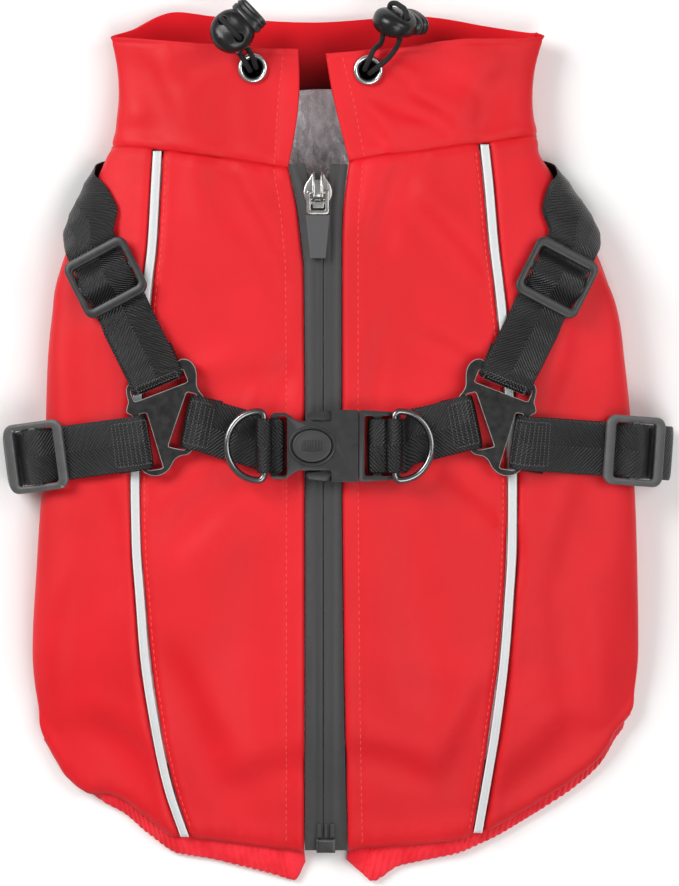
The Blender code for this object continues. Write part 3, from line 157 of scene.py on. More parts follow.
# Places of the two cords in turn, from eyelet to eyelet
CORDS = table("""
left_x left_y left_z right_x right_y right_z
 -29.1 131.42  19.63   10.92  129.37   19.87
-29.08 131.37  22.26   10.88  129.34   22.54
-29.64 132.85  24.33   12.34  130.46    24.4
-30.44 135.13  25.32    14.3  131.92   25.41
-31.77 137.48  25.02   16.42  133.57   25.67
-33.34 139.26  24.34   18.22  135.53    25.1
-33.31 139.29  26.93   19.71  137.61   24.77
-33.73 139.83  29.45    20.8  139.61   26.12
-34.14 140.34  31.98   21.48  141.99   27.06
-34.55 140.86   34.5   22.17  144.35   28.03
-34.98 141.39  37.04   22.86  146.72   28.98
-36.19 142.72  38.39   23.57  149.12   29.95
-37.96  144.6  37.99   22.98  151.27   29.48
-39.66  146.4  37.18    21.4  152.65   27.85
-41.02  147.8  35.63   19.71  153.64   26.07
-40.57 147.25  33.07   18.12  153.38    24.3
-40.15 146.73  30.55   17.45  150.93   23.36
-39.72 146.19  28.03   16.77  148.56   22.42
-39.31 145.68   25.5    16.1  146.18   21.48
-38.61  144.9  23.02   15.39  143.81   20.51
-37.78 143.36  22.33   15.12  141.22   19.92
-37.03 141.02  23.98   14.41  139.48   21.21
-36.12 138.59  25.41   13.22   138.5   23.98
-34.85 136.32  25.46   12.01  137.08   25.69
-33.45  134.1  24.94   10.89  134.68   25.51
-32.14 131.94  23.93    9.87  132.41   24.42
-31.18 130.35  22.27    9.11  130.75   22.54
-31.21 130.39  19.63    9.13  130.79   19.87
""")


def maths(tree, operation, first, second=0.0, third=0.0):
    return add(tree, "ShaderNodeMath", {0: first, 1: second, 2: third}, operation=operation).outputs[0]


def blended(tree, share, first, second):
    """Colour between two colours, by a share"""
    return add(tree, "ShaderNodeMix", {0: share, 6: first, 7: second}, data_type="RGBA").outputs[2]


def noise(tree, where, scale, detail=2.0):
    return add(tree, "ShaderNodeTexNoise", {"Vector": where, "Scale": scale, "Detail": detail}).outputs[0]


def paint(tree, shader, colour, socket="Base Color"):
    tree.links.new(colour, shader.inputs[socket])


def effect(name, outputs, **inputs):
    """An empty node group, with the sockets at its two ends. An input is a vector where it has no
    value, a colour where it has four, else a number"""
    tree = bpy.data.node_groups.new(name, "ShaderNodeTree")
    for label, value in inputs.items():
        kind = "Vector" if value is None else "Color" if isinstance(value, tuple) else "Float"
        made = tree.interface.new_socket(label, in_out="INPUT", socket_type="NodeSocket" + kind)
        if value is not None:
            made.default_value = value
    for label, kind in outputs.items():
        tree.interface.new_socket(label, in_out="OUTPUT", socket_type="NodeSocket" + kind)
    return tree, tree.nodes.new("NodeGroupInput").outputs, tree.nodes.new("NodeGroupOutput").inputs


def split(tree, vector):
    return add(tree, "ShaderNodeSeparateXYZ", {0: vector}).outputs


def placed_effect(tree, group, **inputs):
    return add(tree, "ShaderNodeGroup", inputs, node_tree=group).outputs


def relief(tree, shader, height, strength, distance):
    """Feeds a height in millimetres to the shader as a bump"""
    bump = add(tree, "ShaderNodeBump", {"Height": height, "Strength": strength, "Distance": distance * MM})
    tree.links.new(bump.outputs[0], shader.inputs["Normal"])


def in_mm(tree):
    """Object coordinates in millimetres"""
    place = add(tree, "ShaderNodeTexCoord").outputs["Object"]
    return add(tree, "ShaderNodeVectorMath", {0: place, "Scale": 1 / MM}, operation="SCALE").outputs[0]


def on_cloth(tree):
    """The piece's own map, in millimetres across and along it"""
    return add(tree, "ShaderNodeUVMap", uv_map="cloth").outputs[0]


def braid_finish():
    """Black cover of fine yarns that wind both ways: two sets of slanted waves in the cord's map"""
    made, tree, shader = finish_of("cord_braid", 0.6, specular=0.25)
    where = split(tree, on_cloth(tree))
    wind = []
    for lean in (-1.6, 1.6):
        slant = maths(tree, "MULTIPLY_ADD", where[0], lean, where[1])
        wind.append(maths(tree, "SINE", maths(tree, "MULTIPLY", slant, 6.5)))
    yarn = maths(tree, "MAXIMUM", *wind)
    # Painted highlight: the yarn crests are coloured paler
    lit = maths(tree, "MULTIPLY_ADD", yarn, 0.5, 0.5)
    paint(tree, shader, blended(tree, lit, (0.003, 0.003, 0.0035, 1), (0.026, 0.026, 0.028, 1)))
    relief(tree, shader, yarn, 0.6, 0.12)
    return made


def lengths(points):
    """Distance gone at each point of a line, starting at zero"""
    steps = np.linalg.norm(np.diff(points, axis=0), axis=1)
    return np.concatenate([[0], np.cumsum(steps)])


def hermite(xs, ys, x):
    """Smooth cubic through the points, its slopes taken from both neighbours"""
    slope = np.gradient(ys, xs)
    i = np.clip(np.searchsorted(xs, x) - 1, 0, len(xs) - 2)
    step = xs[i + 1] - xs[i]
    t = (x - xs[i]) / step
    return ((2 * t**3 - 3 * t**2 + 1) * ys[i] + (t**3 - 2 * t**2 + t) * step * slope[i]
            + (3 * t**2 - 2 * t**3) * ys[i + 1] + (t**3 - t**2) * step * slope[i + 1])


def finer(points, count):
    """The same line through many more points, evenly spaced along it"""
    points = np.asarray(points, float)
    gone = lengths(points)
    at = np.linspace(0, gone[-1], count)
    return np.stack([hermite(gone, points[:, k], at) for k in range(3)], -1)


def circle(count):
    """Angles all round, evenly spaced"""
    return np.linspace(0, 2 * np.pi, count, endpoint=False)


def sweep(first, last, count):
    """Angles from one to another, given in degrees"""
    return np.radians(np.linspace(first, last, count))


def unit(ways):
    return ways / np.linalg.norm(ways, axis=-1, keepdims=True)


def tube(points, radius, sides, loop=False):
    """Rings of points about a line, square to it, none twisted about a fixed direction"""
    points = np.asarray(points, float)
    ahead = unit(np.roll(points, -1, 0) - np.roll(points, 1, 0) if loop else np.gradient(points, axis=0))
    aside = unit(np.cross(ahead, np.eye(3)[np.argmin(np.abs(ahead).sum(0))]))
    up = np.cross(aside, ahead)
    angle = circle(sides)[None, :, None]
    return points[:, None] + radius * (np.cos(angle) * aside[:, None] + np.sin(angle) * up[:, None])


def map_steps(grid, axis, loop):
    """Mean distance gone along one side of a grid, and back to the start for a ring"""
    step = np.diff(grid, axis=axis, append=np.take(grid, np.arange(int(loop)), axis))
    return np.concatenate([[0], np.cumsum(np.linalg.norm(step, axis=-1).mean(1 - axis))])


def drawn(name, points, faces, finish):
    """A mesh from points in the coat's millimetres"""
    data = bpy.data.meshes.new(name)
    data.from_pydata(((points + TO_MIDDLE) * MM).tolist(), [], faces)
    data.materials.append(finish)
    return data


def surface(name, grid, finish, ring=False, loop=False, outward=None):
    """A mesh on a grid of points, four neighbours to a face. ring joins the last column to the
    first, and then the last row joins the first too (loop) or both end rows are closed. A closed
    mesh faces out by its signed volume, a sheet by the given normals. The map named cloth holds
    millimetres across the columns and along the rows."""
    grid = np.asarray(grid, float)
    rows, columns = grid.shape[:2]
    number = np.arange(rows * columns).reshape(rows, columns)
    if ring:
        number = np.concatenate([number, number[:, :1]], 1)
    if loop:
        number = np.concatenate([number, number[:1]], 0)
    spot = np.stack(np.meshgrid(map_steps(grid, 1, ring), map_steps(grid, 0, loop)), -1)
    quads, spots = (np.stack([k[:-1, :-1], k[1:, :-1], k[1:, 1:], k[:-1, 1:]], 2) for k in (number, spot))
    quads, spots = quads.reshape(-1, 4), spots.reshape(-1, 4, 2)
    points = grid.reshape(-1, 3)
    corners = points[quads]
    normal = np.cross(corners[:, 2] - corners[:, 0], corners[:, 3] - corners[:, 1])
    away = corners.mean(1) if outward is None else outward.reshape(-1, 3)[quads[:, 0]]
    facing = (normal * away).sum()
    if facing < 0:
        quads, spots = quads[:, ::-1], spots[:, ::-1]
    faces, maps = quads.tolist(), spots.reshape(-1, 2)
    if ring and not loop:
        turn = -1 if facing < 0 else 1
        faces += [number[0, :columns][::turn].tolist(), number[-1, :columns][::-turn].tolist()]
        maps = np.concatenate([maps, np.zeros((2 * columns, 2))])
    data = drawn(name, points, faces, finish)
    layer = data.uv_layers.new(name="cloth")
    layer.data.foreach_set("uv", maps.astype(np.float32).ravel())
    data.polygons.foreach_set("use_smooth", [True] * len(quads) + [False] * (len(faces) - len(quads)))
    data.update()
    return stand(name, data)


def fasten(piece, nodes=(), body="coat"):
    """Carries a piece on its body, and hides the solids that it stands for"""
    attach(piece, body)
    if nodes:
        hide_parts(*nodes)
    return piece


def closed(name, grid, finish, slot, nodes=(), body="coat", loop=False):
    """A piece whose grid closes round it, on its body"""
    return fasten(surface(name, grid, finish, ring=True, loop=loop), nodes, body)


BRAID = braid_finish()
for hand in HANDS:
    line = finer(np.stack([CORDS[f"{hand}_{k}"] for k in "xyz"], -1), 110)
    cord = closed("drawcord_" + hand, tube(line, CORD_D / 2, 12), BRAID, "elastic", ["cord_" + hand])

# -------------------------------- softshell panels
# The coat's body: two backs, two sides that turn under the edge, and the belly. Each is cut
# from red softshell, a smooth tightly woven face bonded to a soft back, and sewn at its edges.

WALL = 1.4  # softshell
SEAM = 0.3  # gap between neighbouring pieces
UNDER = 1.6  # the belly cloth lies on the webbing, this far above the table
EDGE_TURN = 12.0  # how far in from the silhouette the side turns under
BELLY_SEAM = 16.3  # belly seam, measured in from the silhouette
HALF_WIDTH = 95.0  # nominal, for measuring across the under layer
CROWN_POWER = 2.6  # how square the upper half of the section is
PIPE_SLOT = 1.9  # half the width that the piping takes between two panels


def smooth(xs, ys, x):
    """Cubic through the points that never overshoots them, held level past both ends"""
    order = np.argsort(xs)
    xs, ys = xs[order], ys[order]
    step = np.diff(xs)
    rise = np.diff(ys) / step
    mild = rise[:-1] * rise[1:] > 0
    mean = 2 * rise[:-1] * rise[1:] / np.where(mild, rise[:-1] + rise[1:], 1)
    slope = np.concatenate([rise[:1], np.where(mild, mean, 0), rise[-1:]])
    x = np.clip(x, xs[0], xs[-1])
    i = np.clip(np.searchsorted(xs, x) - 1, 0, len(step) - 1)
    t = (x - xs[i]) / step[i]
    level = ys[i] + (ys[i + 1] - ys[i]) * t * t * (3 - 2 * t)
    pull = slope[i] * (t - 2 * t**2 + t**3) + slope[i + 1] * (t**3 - t**2)
    return level + pull * step[i]


def read(curves, column, at):
    """One column of a table, read as a smooth curve over the first one"""
    return smooth(next(iter(curves.values())), curves[column], at)


# Silhouette of the coat seen from above
SIDES = table("""
   y   left right
 125    -80  69.6
 104    -80  69.6
  95  -83.8  74.5
  80  -89.8  83.6
  67  -94.9  90.4
  50  -99.7  96.3
  30 -101.7 100.1
   0 -103.3   103
 -40   -106 104.7
 -72 -107.4 105.2
 -96 -104.9 102.5
-103 -103.2   101
-160 -103.2   101
""")

# Edges of the two back panels along the zip
ZIP_EDGE = table("""
   y  left right
 100 -18.3   3.7
  94 -17.3     3
  82 -14.9   1.6
  71 -13.5   1.2
  60 -12.5   1.2
   0 -12.1   1.2
 -80 -12.1   1.9
-145 -12.3   3.2
""")

# Piping in the seams between back and sides
PIPING = table("""
   y  left right
 106 -63.4  50.8
  90 -64.3  52.5
  70 -65.4  54.2
  50 -67.7  56.6
  20 -70.3  59.4
 -10 -71.4  60.7
 -35   -71  60.6
 -55 -69.6  59.5
 -75 -68.1    58
-100 -64.4    55
-120 -60.3  51.8
-141 -53.4  48.2
""")

# Neck seam and hem of the upper layer, from the zip (across 0) to the silhouette (1)
NEAR_ENDS = table("""
across neck_left neck_right hem_left hem_right rib_left rib_right
     0      96.3       98.7   -144.2    -143.7        3         3
  0.07        97       99.7   -143.4    -142.9     10.6       8.5
  0.12      97.5      100.3   -142.9    -142.6      9.4      11.5
   0.2      98.4        101   -141.9      -142      8.4         7
  0.38     100.2      102.3   -139.9    -140.3      6.4       4.6
   0.5     101.1      103.5     -139    -136.8      5.4       3.6
  0.62     102.1      104.6   -131.4    -130.6      5.8       3.4
  0.72     102.9      105.3     -125    -124.6      4.6       3.2
  0.82     103.8      106.3     -122    -118.3        3         3
  0.91     104.2      107.3   -116.2    -110.8      2.4       2.4
     1     103.8      107.9     -103       -96        2         2
""")

# Neck seam and hem of the under layer, from the left silhouette (-1) to the right (1)
FAR_ENDS = table("""
across  neck  hem
    -1 103.8 -103
 -0.75 108.5  -93
  -0.4   117  -72
     0 121.3  -59
   0.4   118  -70
  0.75 111.5  -88
     1 107.9  -96
""")

# Height of the section along the coat, from the neck seam (along 0) to the hem (1)
LOFT = table("""
along crown side
    0  23.5 10.5
  0.2    26   11
 0.45    27   11
 0.65    26 10.5
  0.8    21    9
 0.92    12  6.5
    1   5.4  4.6
""")


def out(hand):
    """Direction from the zip to this side of the coat"""
    return -1 if hand == "left" else 1


def bell(away, width):
    return np.exp(-(away / width) ** 2)


def squared(wave, power):
    """A wave between -1 and 1 that keeps its sign and stays longer near both"""
    return np.sign(wave) * np.abs(wave) ** power


def side_x(hand, y):
    return read(SIDES, hand, y)


def zip_x(hand, y):
    return read(ZIP_EDGE, hand, y)


def across_of(hand, x, y):
    """0 at the zip edge, 1 at the silhouette"""
    inner = zip_x(hand, y)
    return (x - inner) / (side_x(hand, y) - inner)


def near_end(name, hand, across):
    return read(NEAR_ENDS, name + "_" + hand, across)


def along_of(hand, x, y):
    """0 at the neck seam, 1 at the hem"""
    across = np.clip(across_of(hand, x, y), 0, 1)
    neck = near_end("neck", hand, across)
    return np.clip((neck - y) / (neck - near_end("hem", hand, across)), 0, 1)


def crown(x, y, along):
    """Height of the upper layer: a flattened oval between its two silhouettes"""
    left, right = side_x("left", y), side_x("right", y)
    offset = np.clip(np.abs(2 * x - left - right) / (right - left), 0, 1)
    side = read(LOFT, "side", along)
    top = read(LOFT, "crown", along)
    return side + (top - side) * (1 - offset**CROWN_POWER) ** (1 / CROWN_POWER)


def top_z(hand, x, y):
    """Outer height of the upper layer over a point of the plan"""
    return crown(x, y, along_of(hand, x, y))


def near_point(hand, across, along):
    """A point of the upper layer's outer face"""
    neck = near_end("neck", hand, across)
    y = neck + (near_end("hem", hand, across) - neck) * along
    x = zip_x(hand, y) + (side_x(hand, y) - zip_x(hand, y)) * across
    return np.stack([x, y, crown(x, y, along)], -1)


def far_y(across, along):
    neck = read(FAR_ENDS, "neck", across)
    return neck + (read(FAR_ENDS, "hem", across) - neck) * along


def under_point(hand, inward, height, along):
    """A point this far in from the silhouette, at a share of the side's height above UNDER"""
    y = far_y(out(hand) * (1 - inward / HALF_WIDTH), along)
    side = read(LOFT, "side", along)
    return np.stack([side_x(hand, y) - out(hand) * inward, y, UNDER + (side - UNDER) * height], -1)


def turn_point(hand, angle, along):
    """A point of the side edge that turns under, angle 0 at the silhouette and 90 below"""
    return under_point(hand, EDGE_TURN * (1 - np.cos(angle)), 1 - np.sin(angle), along)


def belly_point(part, along):
    """A point of the belly's outer face, part 0 at the left seam and 1 at the right"""
    across = (1 - BELLY_SEAM / HALF_WIDTH) * (2 * part - 1)
    y = far_y(across, along)
    left = side_x("left", y) + BELLY_SEAM
    right = side_x("right", y) - BELLY_SEAM
    return np.stack([left + (right - left) * part, y, np.full_like(y, UNDER)], -1)


def face_normals(grid):
    """Unit normals of a grid of points, along its first side crossed with its second"""
    return unit(np.cross(np.gradient(grid, axis=0), np.gradient(grid, axis=1)))


def outward(grid):
    """Normals of a cloth grid, turned away from the middle of the tube"""
    normal = face_normals(grid)
    away = (grid - np.array([-1.0, 0.0, 10.0])) * [1, 0, 6]
    return normal if (normal * away).sum() > 0 else -normal


def pipe_x(hand, y):
    return read(PIPING, hand, y)


def pipe_across(hand, along, shift):
    """Where the piping seam lies on the upper layer, moved by shift towards the side"""
    across = np.full_like(along, 0.6)
    for _ in range(6):
        y = near_point(hand, across, along)[..., 1]
        across = across_of(hand, pipe_x(hand, y) + out(hand) * shift, y)
    return across


# Soft creases of the upper layer, listed one by one: middle, direction in degrees, half length,
# half width, and height (a trough is negative)
CREASES = table("""
  x    y turn long wide rise
-40   88  100   14    5 -1.3
-30   72  -62   22  4.5 -1.5
-86   60   70   16    6 -1.7
-88   18   96   26    5 -1.5
-60   34  118   20    7 -1.7
-34   20   12   17    5 -1.3
-22   14   75   15    4 -0.9
-46  -24   38   22    6 -1.5
-84  -28  -72   30    7 -1.7
-90  -70   82   24    6 -1.5
-30  -62   86   42    8 -0.9
-52  -96  -66   26    6 -1.3
-24 -118   20   20    6 -1.1
-78 -108  -35   18    6 -1.5
 20   84   70   18    5 -1.5
 38   66  -50   24    5 -1.7
 76   84  -74   14    5 -1.1
 88   52 -100   18    6 -1.5
 84   22   70   22    6 -1.7
 40   28  -30   20    5 -1.3
 14   26   80   18    4 -0.9
 44  -26  -40   26    6 -1.7
 86  -30   74   28    7 -1.5
 28  -60  100   36    7 -1.1
 80  -76  -84   26    6 -1.3
 50 -100   62   24    6 -1.5
 18 -114  -16   16    5 -0.9
 74 -112   40   20    6 -1.5
""")


def creases(marks, x, y):
    """Height of the listed creases over a point: each is a bell across its own line with a
    lip on one side, and a flatter bell along it. Troughs that meet don't add up past a limit"""
    turn = np.radians(marks["turn"])
    dx, dy = x[..., None] - marks["x"], y[..., None] - marks["y"]
    gone = (dx * np.cos(turn) + dy * np.sin(turn)) / marks["long"]
    bow = 0.25 * marks["wide"] * gone**2
    aside = (-dx * np.sin(turn) + dy * np.cos(turn) + bow) / marks["wide"]
    fold = np.exp(-aside**2) - 0.6 * bell(aside - 1.9, 0.9)
    high = (marks["rise"] * fold * np.exp(-gone**4)).sum(-1)
    return np.tanh(high / 1.7) * 1.7


def seam_pucker(gone, away, reach, depth):
    """Small pulls along a stitched seam: three uneven waves along it, fading with distance"""
    wave = np.sin(gone / 0.83) + 0.7 * np.sin(gone / 1.31 + 1.1) + 0.5 * np.sin(gone / 2.17 + 0.4)
    return depth * wave / 2.2 * bell(away, reach)


STITCH_IN = {"left": -18.4, "right": 6.7}  # topstitching beside the zip
PIPE_STITCH = 3.3  # topstitching on the zip side of the piping


def stitch_x(hand, y):
    """Line of the topstitching beside the zip: it follows the zip edge where that opens"""
    return STITCH_IN[hand] + (zip_x(hand, y) - zip_x(hand, 0.0 * y)) * 0.8


def upper_relief(hand, grid, along):
    """What sewing and handling do to the upper layer, along its normal: creases, edges that roll
    down into the seams, the shallow groove of each stitch line, and puckers"""
    x, y = grid[..., 0], grid[..., 1]
    rise = creases(CREASES, x, y)
    from_pipe = np.abs(x - pipe_x(hand, y)) - PIPE_SLOT
    from_zip = np.abs(x - zip_x(hand, y))
    groove = np.abs(x - stitch_x(hand, y))
    pipe_groove = np.abs(x - pipe_x(hand, y) + out(hand) * PIPE_STITCH)
    rise += -0.9 * bell(from_pipe, 1.1) + 0.25 * bell(from_pipe - 2.6, 1.8)
    rise += -0.5 * bell(from_zip, 0.7) + 0.2 * bell(from_zip - 2.0, 1.5)
    rise += -0.22 * bell(groove, 0.8) - 0.2 * bell(pipe_groove, 0.8)
    rise += seam_pucker(y + 3 * out(hand), from_pipe, 3.4, 0.16) + seam_pucker(y * 1.1, groove, 2.6, 0.1)
    from_neck, from_hem = along * 200.0, (1 - along) * 200.0
    rise += -0.8 * bell(from_neck, 1.3) + 0.35 * bell(from_neck - 3.5, 2.4)
    rise += -0.7 * bell(from_hem, 1.2) + 0.45 * bell(from_hem - 4.0, 3.0)
    rise += seam_pucker(x, from_neck, 4.0, 0.14) + seam_pucker(x * 1.2 + 2, from_hem, 5.0, 0.22)
    return rise


def mottle_effect():
    """Cloth is never one colour: slow clouds and faint fine flecks between two given colours"""
    tree, given, result = effect("cloth_mottle", {"Colour": "Color"}, Where=None, Light=(1, 1, 1, 1),
                                 Deep=(0, 0, 0, 1), Cloud=0.03, Fleck=2.0, Flecks=0.3)
    wide = ranged(tree, noise(tree, given["Where"], given["Cloud"]), 0.35, 0.65)
    fleck = maths(tree, "SUBTRACT", noise(tree, given["Where"], given["Fleck"], 3.0), 0.5)
    fine = maths(tree, "MULTIPLY", fleck, given["Flecks"])
    share = add(tree, "ShaderNodeClamp", {0: maths(tree, "ADD", wide, fine)}).outputs[0]
    tree.links.new(blended(tree, share, given["Light"], given["Deep"]), result["Colour"])
    return tree


def plain_weave_effect():
    """Height of a plain weave: warp and weft waves cross in the map, roughened by a fine noise"""
    tree, given, result = effect("plain_weave", {"Height": "Float"}, Where=None, Threads=2.5)
    where = split(tree, given["Where"])
    turn = maths(tree, "MULTIPLY", given["Threads"], 2 * math.pi)
    warp, weft = (maths(tree, "SINE", maths(tree, "MULTIPLY", where[k], turn)) for k in (0, 1))
    fuzz = maths(tree, "MULTIPLY", noise(tree, given["Where"], 1.1, 4.0), 1.6)
    tree.links.new(maths(tree, "MULTIPLY_ADD", warp, weft, fuzz), result["Height"])
    return tree


MOTTLE = mottle_effect()
PLAIN_WEAVE = plain_weave_effect()


def mottled(tree, shader, where, light, deep, **more):
    paint(tree, shader, placed_effect(tree, MOTTLE, Where=where, Light=light, Deep=deep, **more)[0])


def woven(tree, shader, threads, strength, height):
    """Threads to a millimetre in the piece's own map, as a bump"""
    weave = placed_effect(tree, PLAIN_WEAVE, Where=on_cloth(tree), Threads=threads)[0]
    relief(tree, shader, weave, strength, height)


def softshell_finish(name, light, deep):
    """Smooth red face: a fine weave that is felt more than seen, soft clouds, and a faint sheen"""
    made, tree, shader = finish_of(name, 0.5, specular=0.3, sheen_weight=0.06, sheen_roughness=0.45)
    where = in_mm(tree)
    mottled(tree, shader, where, light, deep, Cloud=0.022, Flecks=0.35)
    woven(tree, shader, 2.2, 0.25, 0.06)
    paint(tree, shader, ranged(tree, noise(tree, where, 0.4), 0, 1, 0.45, 0.57), "Roughness")
    return made


def panel(name, grid, finish, nodes, thickness=WALL):
    """A cloth piece: its outer face is the grid, and Solidify gives it its wall inwards"""
    made = surface(name, grid, finish, outward=outward(grid))
    wall = made.modifiers.new("wall", "SOLIDIFY")
    wall.thickness = thickness * MM
    wall.offset = -1
    return fasten(made, nodes)


RED = softshell_finish("softshell_red", (0.79, 0.009, 0.018, 1), (0.68, 0.006, 0.012, 1))
FINE_ALONG = np.linspace(0, 1, 190)


def back_grid(hand):
    along = FINE_ALONG[:, None]
    outer = pipe_across(hand, along, -PIPE_SLOT)
    grid = near_point(hand, outer * np.linspace(0, 1, 56), along + 0 * outer)
    return grid + outward(grid) * upper_relief(hand, grid, along)[..., None]


def side_grid(hand):
    """From the piping to the silhouette, round the edge and in to the belly seam"""
    along = FINE_ALONG[:, None]
    inner = pipe_across(hand, along, PIPE_SLOT)
    spread = 1 - (1 - np.linspace(0, 1, 44)) ** 1.6
    upper = near_point(hand, inner + (1 - inner) * spread, along + 0 * inner)
    upper = upper + outward(upper) * upper_relief(hand, upper, along)[..., None]
    turn = turn_point(hand, sweep(9, 90, 10)[None, :], along)
    seam = under_point(hand, BELLY_SEAM - SEAM, 0.0, along)
    whole = np.concatenate([upper, turn, seam], 1)
    longer = covered(hand, whole[..., 0]) * np.clip((along - 0.95) / 0.05, 0, 1)
    return whole + (longer * 2.1)[..., None] * np.array((-0.3, -0.95, 0))


def covered(hand, x):
    """1 where the side's own edge hangs over the knit hem: only at the left corner"""
    share = np.clip((-82.0 - x) / 6, 0, 1) if hand == "left" else 0 * x
    return share * share * (3 - 2 * share)


for hand in HANDS:
    for kind, grid, rests_on in (("back", back_grid(hand), ["lining"]),
                                 ("side", side_grid(hand), ["lining", "belly_strap"])):
        cloth = panel(f"{kind}_panel_{hand}", grid, RED, [f"{kind}_{hand}"])

LEG = {"x": 50.0, "y": 40.0, "width": 42.0, "length": 52.0}
BELLY_CREASES = table("""
  x   y turn long wide rise
-52  78   20   18    4  0.8
-20  60   95   24    5  0.7
 30  70  -30   20    4  0.9
-46 -20   12   26    5  0.8
 20 -30   -8   30  4.5  0.9
 54   4   70   16    4  0.6
-10  20   84   22    5  0.6
""")


def belly_grid():
    """The far panel as one whole grid, raised by its creases away from its edges. A Boolean cuts
    the two leg holes later"""
    part, along = np.meshgrid(np.linspace(0, 1, 90), FINE_ALONG[::2])
    grid = belly_point(part, along)
    inside = np.sin(np.pi * part) * np.sin(np.pi * along)
    grid[..., 2] += np.clip(creases(BELLY_CREASES, grid[..., 0], grid[..., 1]), 0, 2) * inside**0.5
    return grid


def oval(length, width, count=24, centre=(0, 0)):
    angle = circle(count)
    return np.stack([centre[0] + length / 2 * np.cos(angle), centre[1] + width / 2 * np.sin(angle)], -1)


def raised(flat, high):
    """Flat points at a height"""
    return np.concatenate([flat, np.full((len(flat), 1), high)], 1)


def shape_of(piece):
    """The mesh that a piece has once its curve or its modifiers are worked out"""
    bpy.context.view_layer.update()
    graph = bpy.context.evaluated_depsgraph_get()
    return bpy.data.meshes.new_from_object(piece.evaluated_get(graph))


def leg_line(hand, less, count):
    """Outline of a leg hole, or a line inside it"""
    return oval(LEG["width"] - less, LEG["length"] - less, count, (out(hand) * LEG["x"], LEG["y"]))


def punch_legs(piece):
    for hand in HANDS:
        punch(piece, leg_line(hand, 0, 64), -5, 8)


def punch(piece, outline, low, high):
    """Cuts a straight hole through a piece, and leaves no modifier or tool behind"""
    base = raised(outline, low)
    tool = surface("hole", np.stack([base, base + [0, 0, high - low]]), piece.data.materials[0], ring=True)
    hole = piece.modifiers.new("hole", "BOOLEAN")
    hole.operation, hole.object = "DIFFERENCE", tool
    cut = shape_of(piece)
    piece.modifiers.clear()
    piece.data = cut
    bpy.data.objects.remove(tool)


grid = belly_grid()
belly = panel("belly_panel", grid, RED, ["belly"])
punch_legs(belly)

BINDING = {"in": 2.9, "half": 1.15, "low": 1.0, "tall": 4.6}
for hand in HANDS:
    middle = raised(leg_line(hand, BINDING["in"], 96), BINDING["low"] + BINDING["tall"] / 2)
    turn, roll = circle(96), circle(16)
    flat_out = unit((middle - middle.mean(0)) * [1, 1, 0])
    pinch = (1 + 0.06 * np.sin(turn * 31) + 0.04 * np.sin(turn * 47 + 1))[:, None]
    wide = squared(np.cos(roll), 0.7) * BINDING["half"]
    tall = squared(np.sin(roll), 0.7) * BINDING["tall"] / 2
    rings = middle[:, None] + (pinch * wide)[..., None] * flat_out[:, None]
    rings[..., 2] += pinch * tall
    closed("leg_edge_" + hand, rings, RED, "softshell", ["leg_binding_" + hand], loop=True)

# -------------------------------- fleece lining
# Grey plush bonded inside the shell. It shows in the neck slit and through the neck and hem,
# where its pile stands up in small tufts that lean one way and part in soft clumps.

FLEECE = 2.0
LINING_ENDS = (0.012, 0.90)


def fleece_finish():
    """Matt grey pile: clouds of two greys, broken up by a fine streaky noise along the nap"""
    made, tree, shader = finish_of("fleece_plush", 0.95, sheen_weight=0.5, sheen_roughness=0.6)
    nap = add(tree, "ShaderNodeMapping", {"Vector": in_mm(tree), "Scale": (1.6, 0.7, 1.0)}).outputs[0]
    mottled(tree, shader, nap, (1.0, 0.97, 0.99, 1), (0.68, 0.63, 0.66, 1), Cloud=0.28, Fleck=1.7, Flecks=1.6)
    relief(tree, shader, noise(tree, nap, 1.3, 5.0), 0.9, 0.5)
    return made


def ring_grid(columns, along):
    """The whole section from the left zip edge round the belly to the right zip edge"""
    near = np.array([0, 0.3, 0.55, 0.75, 0.88, 0.96, 1.0])[None]
    angle = np.radians([[30, 60, 90]])
    along = along[:, None]
    return np.concatenate([
        near_point("left", near, along), turn_point("left", angle, along),
        belly_point(np.linspace(0, 1, columns)[None], along),
        turn_point("right", angle[:, ::-1], along), near_point("right", near[:, ::-1], along)], 1)


def lining_grid():
    """The shell's ring from neck to hem, moved inwards past the shell's wall"""
    grid = ring_grid(40, np.linspace(*LINING_ENDS, 120))
    return grid - outward(grid) * (WALL + 3 * SEAM)


FLEECE_FINISH = fleece_finish()
grid = lining_grid()
lining = panel("lining_plush", grid, FLEECE_FINISH, ["lining"], FLEECE)
punch_legs(lining)

PILE = {"x": (-24.0, 12.0), "y": (78.0, 122.6), "tufts": 6200, "long": 2.2, "wide": 0.55}


